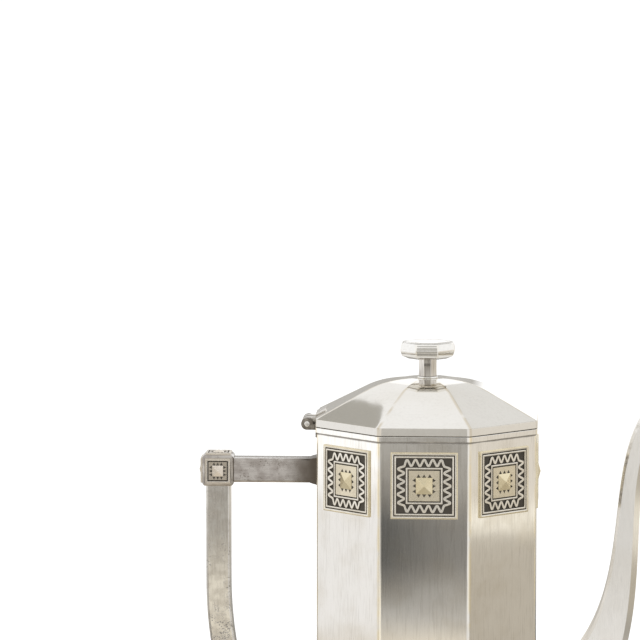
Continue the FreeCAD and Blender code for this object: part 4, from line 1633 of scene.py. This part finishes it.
@dataclass(frozen=True)
class ToneStop:
    """Tones of the surroundings in one direction, from near to far.

    Attributes:
        azimuth: direction in degrees, 0 towards the camera and 90 to the spout's side.
        tones: distance from the pot's axis and the tone there.
    """

    azimuth: float
    tones: tuple[tuple[float, Point], ...]

    LEAST_SPAN = 1e-6

    def at(self, distance: float) -> Vector:
        """Tone at a distance, between the nearest two that are given."""
        before = self.tones[0]
        for after in self.tones:
            if distance <= after[0]:
                span = max(after[0] - before[0], self.LEAST_SPAN)
                share = min(max((distance - before[0]) / span, 0.0), 1.0)
                return Vector(before[1]).lerp(Vector(after[1]), share)
            before = after
        return Vector(before[1])


@dataclass
class Studio:
    """Camera, pale floor, soft light and the tones that the metal mirrors."""

    lens: float = 319.5
    sensor: float = 36.0
    azimuth: float = 1.7
    elevation: float = 7.8
    distance: float = 2.4
    pivot: Vector = Vector((0.0, 0.0, 0.165))
    target: Vector = Vector((-0.0455, 0.0, 0.2132))
    floor_half: float = 9.0
    floor_glow: float = 0.62
    world_light: float = 0.5
    card_reach: float = 0.22
    card_height: float = 0.0003
    azimuth_steps: int = 720

    GLARE = (1.2, 1.2, 1.2)
    WHITE = (0.92, 0.91, 0.90)
    CREAM = (0.78, 0.73, 0.65)
    IVORY = (1.05, 1.0, 0.88)
    SAND = (0.92, 0.84, 0.70)
    PEARL = (0.70, 0.68, 0.64)
    BROWN = (0.53, 0.485, 0.41)
    DARK = (0.105, 0.105, 0.10)
    DUSK = (0.25, 0.24, 0.22)
    GREY = (0.42, 0.40, 0.365)
    SILVER = (0.52, 0.505, 0.475)
    SLATE = (0.46, 0.445, 0.41)
    PALE = (0.84, 0.835, 0.82)
    FLOOR = (0.8, 0.8, 0.8, 1.0)
    FLOOR_ROUGHNESS = 0.9
    GREY_PATCH = ((-45.0, -6.0), (19.0, -6.0), (17.0, 1.0), (11.0, 8.0), (7.0, 13.0), (5.0, 16.0),
                  (1.5, 17.2), (-5.0, 16.6), (-9.0, 18.2), (-45.0, 18.2))
    PALE_PATCH = ((-45.0, -9.0), (45.0, -9.0), (150.0, 60.0), (520.0, 330.0), (520.0, 620.0), (300.0, 470.0),
                  (60.0, 130.0), (-45.0, 80.0))
    CROWN = 1.5
    CROWN_RISES = (0.6, 8.6)
    LAMPS = (("overhead_lamp", (-0.3, -0.4, 1.6), 1.2, 8.0), ("side_lamp", (-1.4, -0.8, 0.9), 0.9, 4.0))

    def stops(self) -> list[ToneStop]:
        """Tones round the pot, from its back by way of its handle and front to its back again."""
        front = ((0.03, self.SAND), (0.15, self.CREAM), (0.25, self.GREY), (0.34, self.DUSK),
                 (0.43, self.SILVER), (0.50, self.SAND), (0.59, self.SILVER), (0.69, self.DUSK),
                 (0.77, self.DARK), (0.93, self.DARK), (1.03, self.DUSK), (1.17, self.GREY),
                 (1.30, self.SILVER), (1.35, self.DARK), (1.43, self.DARK), (1.48, self.GREY),
                 (1.9, self.SILVER), (3.2, self.PEARL))
        lighter = {self.DARK: self.DUSK, self.DUSK: self.GREY}
        front_right = tuple((place, lighter.get(tone, tone)) for place, tone in front)
        grip = ((0.03, self.SAND), (0.2, self.SILVER), (0.4, self.SAND), (0.55, self.IVORY),
                (0.70, self.IVORY), (0.735, self.SILVER), (1.4, self.SILVER), (2.2, self.CREAM),
                (3.2, self.WHITE))
        spout = ((0.03, self.SAND), (0.2, self.SILVER), (0.45, self.WHITE), (2.9, self.WHITE),
                 (3.6, self.PEARL), (6.0, self.PEARL))
        shade = ((0.03, self.SAND), (0.18, self.CREAM), (0.27, self.SILVER), (0.36, self.DUSK),
                 (0.5, self.GREY), (0.8, self.SILVER), (1.2, self.CREAM), (3.2, self.WHITE))
        right = ((0.03, self.SAND), (0.2, self.CREAM), (0.35, self.GREY), (0.5, self.BROWN),
                 (0.85, self.BROWN), (0.87, self.IVORY), (0.94, self.IVORY), (1.0, self.CREAM),
                 (1.6, self.CREAM), (3.2, self.WHITE))
        left = ((0.03, self.SAND), (0.2, self.CREAM), (0.33, self.SILVER), (0.46, self.CREAM),
                (0.56, self.WHITE), (0.95, self.WHITE), (1.15, self.GLARE), (1.3, self.GLARE),
                (1.8, self.WHITE), (3.2, self.WHITE))
        bright = ((0.03, self.SAND), (0.3, self.WHITE), (3.2, self.WHITE))
        back = ((0.03, self.SAND), (0.2, self.CREAM), (0.32, self.GREY), (0.45, self.DUSK),
                (0.6, self.GREY), (1.0, self.CREAM), (3.2, self.WHITE))
        runs = ((back, -180.0, -165.0), (shade, -150.0, -120.0), (left, -108.0, -70.0), (shade, -56.0, -34.0),
                (bright, -28.0, -20.0), (grip, -16.0, -7.2), (front, -6.0, -3.4), (front_right, -0.4, 2.0),
                (spout, 4.5, 16.0), (bright, 20.0, 28.0), (shade, 34.0, 56.0), (right, 68.0, 115.0),
                (shade, 125.0, 150.0), (back, 165.0, 180.0))
        return [ToneStop(azimuth, tones) for tones, *azimuths in runs for azimuth in azimuths]

    def tone(self, azimuth: float, distance: float) -> Vector:
        """Tone of the surroundings at a place on the card.

        Args:
            azimuth: direction in degrees.
            distance: distance from the pot's axis.

        Returns:
            The tone.
        """
        stops = self.stops()
        for before, after in zip(stops, stops[1:]):
            if azimuth <= after.azimuth:
                share = (azimuth - before.azimuth) / (after.azimuth - before.azimuth)
                return before.at(distance).lerp(after.at(distance), share)
        return stops[-1].at(distance)

    @staticmethod
    def card(name: str, points: Sequence[Point], faces: Sequence[tuple[int, ...]],
             tones: Sequence[Point]) -> None:
        """Makes a card that only mirrored rays see.

        Args:
            name: name of the card.
            points: its points.
            faces: its faces.
            tones: tone at each point.
        """
        mesh = bpy.data.meshes.new(name)
        mesh.from_pydata(points, [], faces)
        layer = mesh.attributes.new("tone", "FLOAT_COLOR", "POINT")
        for entry, tone in zip(layer.data, tones):
            entry.color = (*tone, 1.0)
        material, graph = shading(name, bpy.data.materials)
        tone = graph.add("ShaderNodeAttribute", attribute_name="tone").outputs["Color"]
        light = graph.add("ShaderNodeEmission", {"Color": tone}).outputs[0]
        graph.add("ShaderNodeOutputMaterial", {"Surface": light})
        mesh.materials.append(material)
        card = new_object(name, mesh)
        card.visible_camera = False
        card.visible_diffuse = False
        card.visible_shadow = False
        card.visible_transmission = False

    def floor_card(self) -> None:
        """Ring just above the floor that carries the tones round the pot."""
        distances = sorted({place for stop in self.stops() for place, _ in stop.tones})
        azimuths = [index * 360.0 / self.azimuth_steps - 180.0 for index in range(self.azimuth_steps + 1)]
        points = []
        tones = []
        for distance in distances:
            for azimuth in azimuths:
                turn = math.radians(azimuth)
                points.append((distance * math.sin(turn), -distance * math.cos(turn), self.card_height))
                tones.append(self.tone(azimuth, distance))
        count = len(azimuths)
        faces = []
        for row in range(len(distances) - 1):
            for column in range(count - 1):
                first = row * count + column
                faces.append((first, first + 1, first + count + 1, first + count))
        self.card("floor_tones", points, faces, tones)

    def panel_card(self, name: str, side: float, patch: Sequence[Point], tone: Point) -> None:
        """Makes a card behind the pot that mirrors as a patch on one lid panel.

        Args:
            name: name of the card.
            side: -1 for the panel towards the handle, 1 for the one towards the spout.
            patch: corners on the panel in millimetres, across it and up from its foot.
            tone: tone of the card.
        """
        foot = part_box("lid_dome")
        outwards = Vector((side, -1.0, 0.0)) * math.sqrt(0.5)
        across = Vector((-outwards.y, outwards.x, 0.0))
        inwards = (Vector((0.0, 0.0, Lid.slope)) - outwards).normalized()
        view = (self.pivot - self.eye()).normalized()
        way = view.reflect(across.cross(inwards))
        rim = outwards * foot[1].y + Vector((0.0, 0.0, foot[0].z))
        corners = [rim + (across * aside + inwards * up) * MM + way * self.card_reach for aside, up in patch]
        self.card(name, corners, [tuple(range(len(patch)))], [tone] * len(patch))

    def panel_cards(self) -> None:
        """Makes a grey card for the panel by the handle and a pale one for the panel by the spout."""
        self.panel_card("grey_card", -1.0, self.GREY_PATCH, self.SLATE)
        self.panel_card("pale_card", 1.0, self.PALE_PATCH, self.PALE)

    def back_card(self, name: str, distance: float, sides: tuple[float, float], rises: tuple[float, float],
                  tones: tuple[Point, Point]) -> None:
        """Makes an upright card far from the pot, for the lid's crown and the knob.

        Args:
            name: name of the card.
            distance: how far behind the pot's axis it stands, or before it when negative.
            sides: X places of its two sides.
            rises: angles in degrees of its lower and upper edge above the lid.
            tones: its tone at either side.
        """
        low, high = [self.pivot.z + distance * math.tan(math.radians(rise)) for rise in rises]
        left, right = sides
        corners = [(left, distance, low), (right, distance, low), (right, distance, high),
                   (left, distance, high)]
        first, last = tones
        self.card(name, corners, [(0, 1, 2, 3)], (first, last, last, first))

    def back_cards(self) -> None:
        """Makes grey cards for the lid's crown and the knob, and a bright one for the rest."""
        grey = (self.SILVER, self.SILVER)
        fading = (self.SILVER, self.GLARE)
        for part, sides, tones in (("left", (-0.5, -0.03), grey), ("right", (-0.03, 0.09), grey),
                                   ("fade", (0.09, 0.15), fading)):
            self.back_card("crown_card_" + part, self.CROWN, sides, self.CROWN_RISES, tones)
        self.back_card("bright_card", 1.8, (-0.8, 0.8), (0.3, 25.0), (self.GLARE, self.GLARE))
        self.back_card("knob_card", -2.7, (-0.28, 0.09), (-1.5, -34.0), grey)

    @staticmethod
    def seen(graph: Graph) -> NodeSocket:
        """Tells whether a ray comes from the camera, from a mirror or through a clear surface."""
        path = graph.add("ShaderNodeLightPath").outputs
        direct = graph.math("MAXIMUM", path["Is Camera Ray"], path["Is Glossy Ray"])
        return graph.math("MAXIMUM", direct, path["Is Transmission Ray"])

    def floor(self) -> None:
        """Pale floor that is white to the camera and keeps the pot's shadow."""
        material, graph = shading("pale_floor", bpy.data.materials)
        glow = graph.math("MULTIPLY", self.seen(graph), self.floor_glow)
        shader = graph.add("ShaderNodeBsdfPrincipled", {
            "Base Color": self.FLOOR, "Roughness": self.FLOOR_ROUGHNESS,
            "Emission Color": (1.0, 1.0, 1.0, 1.0), "Emission Strength": glow})
        graph.add("ShaderNodeOutputMaterial", {"Surface": shader.outputs[0]})
        half = self.floor_half
        mesh = bpy.data.meshes.new("pale_floor")
        mesh.from_pydata([(-half, -half, 0.0), (half, -half, 0.0), (half, half, 0.0), (-half, half, 0.0)], [],
                         [(0, 1, 2, 3)])
        mesh.materials.append(material)
        new_object("pale_floor", mesh)

    def world(self) -> None:
        """White surroundings for the camera and for mirrored rays, dimmer as light."""
        world, graph = shading("white_studio", bpy.data.worlds)
        strength = graph.math("MULTIPLY_ADD", self.seen(graph), 1.0 - self.world_light, self.world_light)
        light = graph.add("ShaderNodeBackground", {"Color": (1.0, 1.0, 1.0, 1.0), "Strength": strength})
        graph.add("ShaderNodeOutputWorld", {"Surface": light.outputs[0]})
        bpy.context.scene.world = world

    def lamp(self, name: str, place: Vector, size: float, power: float) -> None:
        """Adds a soft lamp that looks at the pot.

        Args:
            name: name of the lamp.
            place: where it hangs.
            size: side of its square.
            power: power in watts.
        """
        light = bpy.data.lights.new(name, "AREA")
        light.size = size
        light.energy = power
        lamp = new_object(name, light)
        lamp.location = place
        lamp.rotation_euler = (self.pivot - place).to_track_quat("-Z", "Y").to_euler()
        lamp.visible_glossy = False

    def eye(self) -> Vector:
        """Place of the camera."""
        turn = math.radians(self.azimuth)
        rise = math.radians(self.elevation)
        way = Vector((math.sin(turn) * math.cos(rise), -math.cos(turn) * math.cos(rise), math.sin(rise)))
        return self.pivot + way * self.distance

    def camera(self) -> None:
        """Sets the camera at the photograph's viewing angle."""
        data = bpy.data.cameras.new("view")
        data.lens = self.lens
        data.sensor_width = self.sensor
        camera = new_object("view", data)
        camera.location = self.eye()
        camera.rotation_euler = (self.target - camera.location).to_track_quat("-Z", "Y").to_euler()
        bpy.context.scene.camera = camera

    def build(self) -> None:
        """Builds the whole studio."""
        bpy.context.scene.view_settings.view_transform = "Standard"
        self.camera()
        self.world()
        self.floor()
        self.floor_card()
        self.panel_cards()
        self.back_cards()
        for name, place, size, power in self.LAMPS:
            self.lamp(name, Vector(place), size, power)


def main() -> None:
    """Builds the studio and every sub-assembly of the pot."""
    logging.basicConfig(level=logging.INFO, format="%(name)s %(message)s")
    Studio().build()
    finishes = Finishes.make()
    maker = Maker(ShapeTrees())
    lid = Lid(maker, finishes)
    for assembly in (Vessel(maker, finishes), lid, Finial(maker, finishes), Hinge(finishes, lid),
                     Spout(finishes), Handle(maker, finishes), WallPlaques(maker, finishes),
                     BlockPlaques(maker, finishes)):
        assembly.build()
        LOG.info("%s built", type(assembly).__name__)


if __name__ == "__main__":
    main()
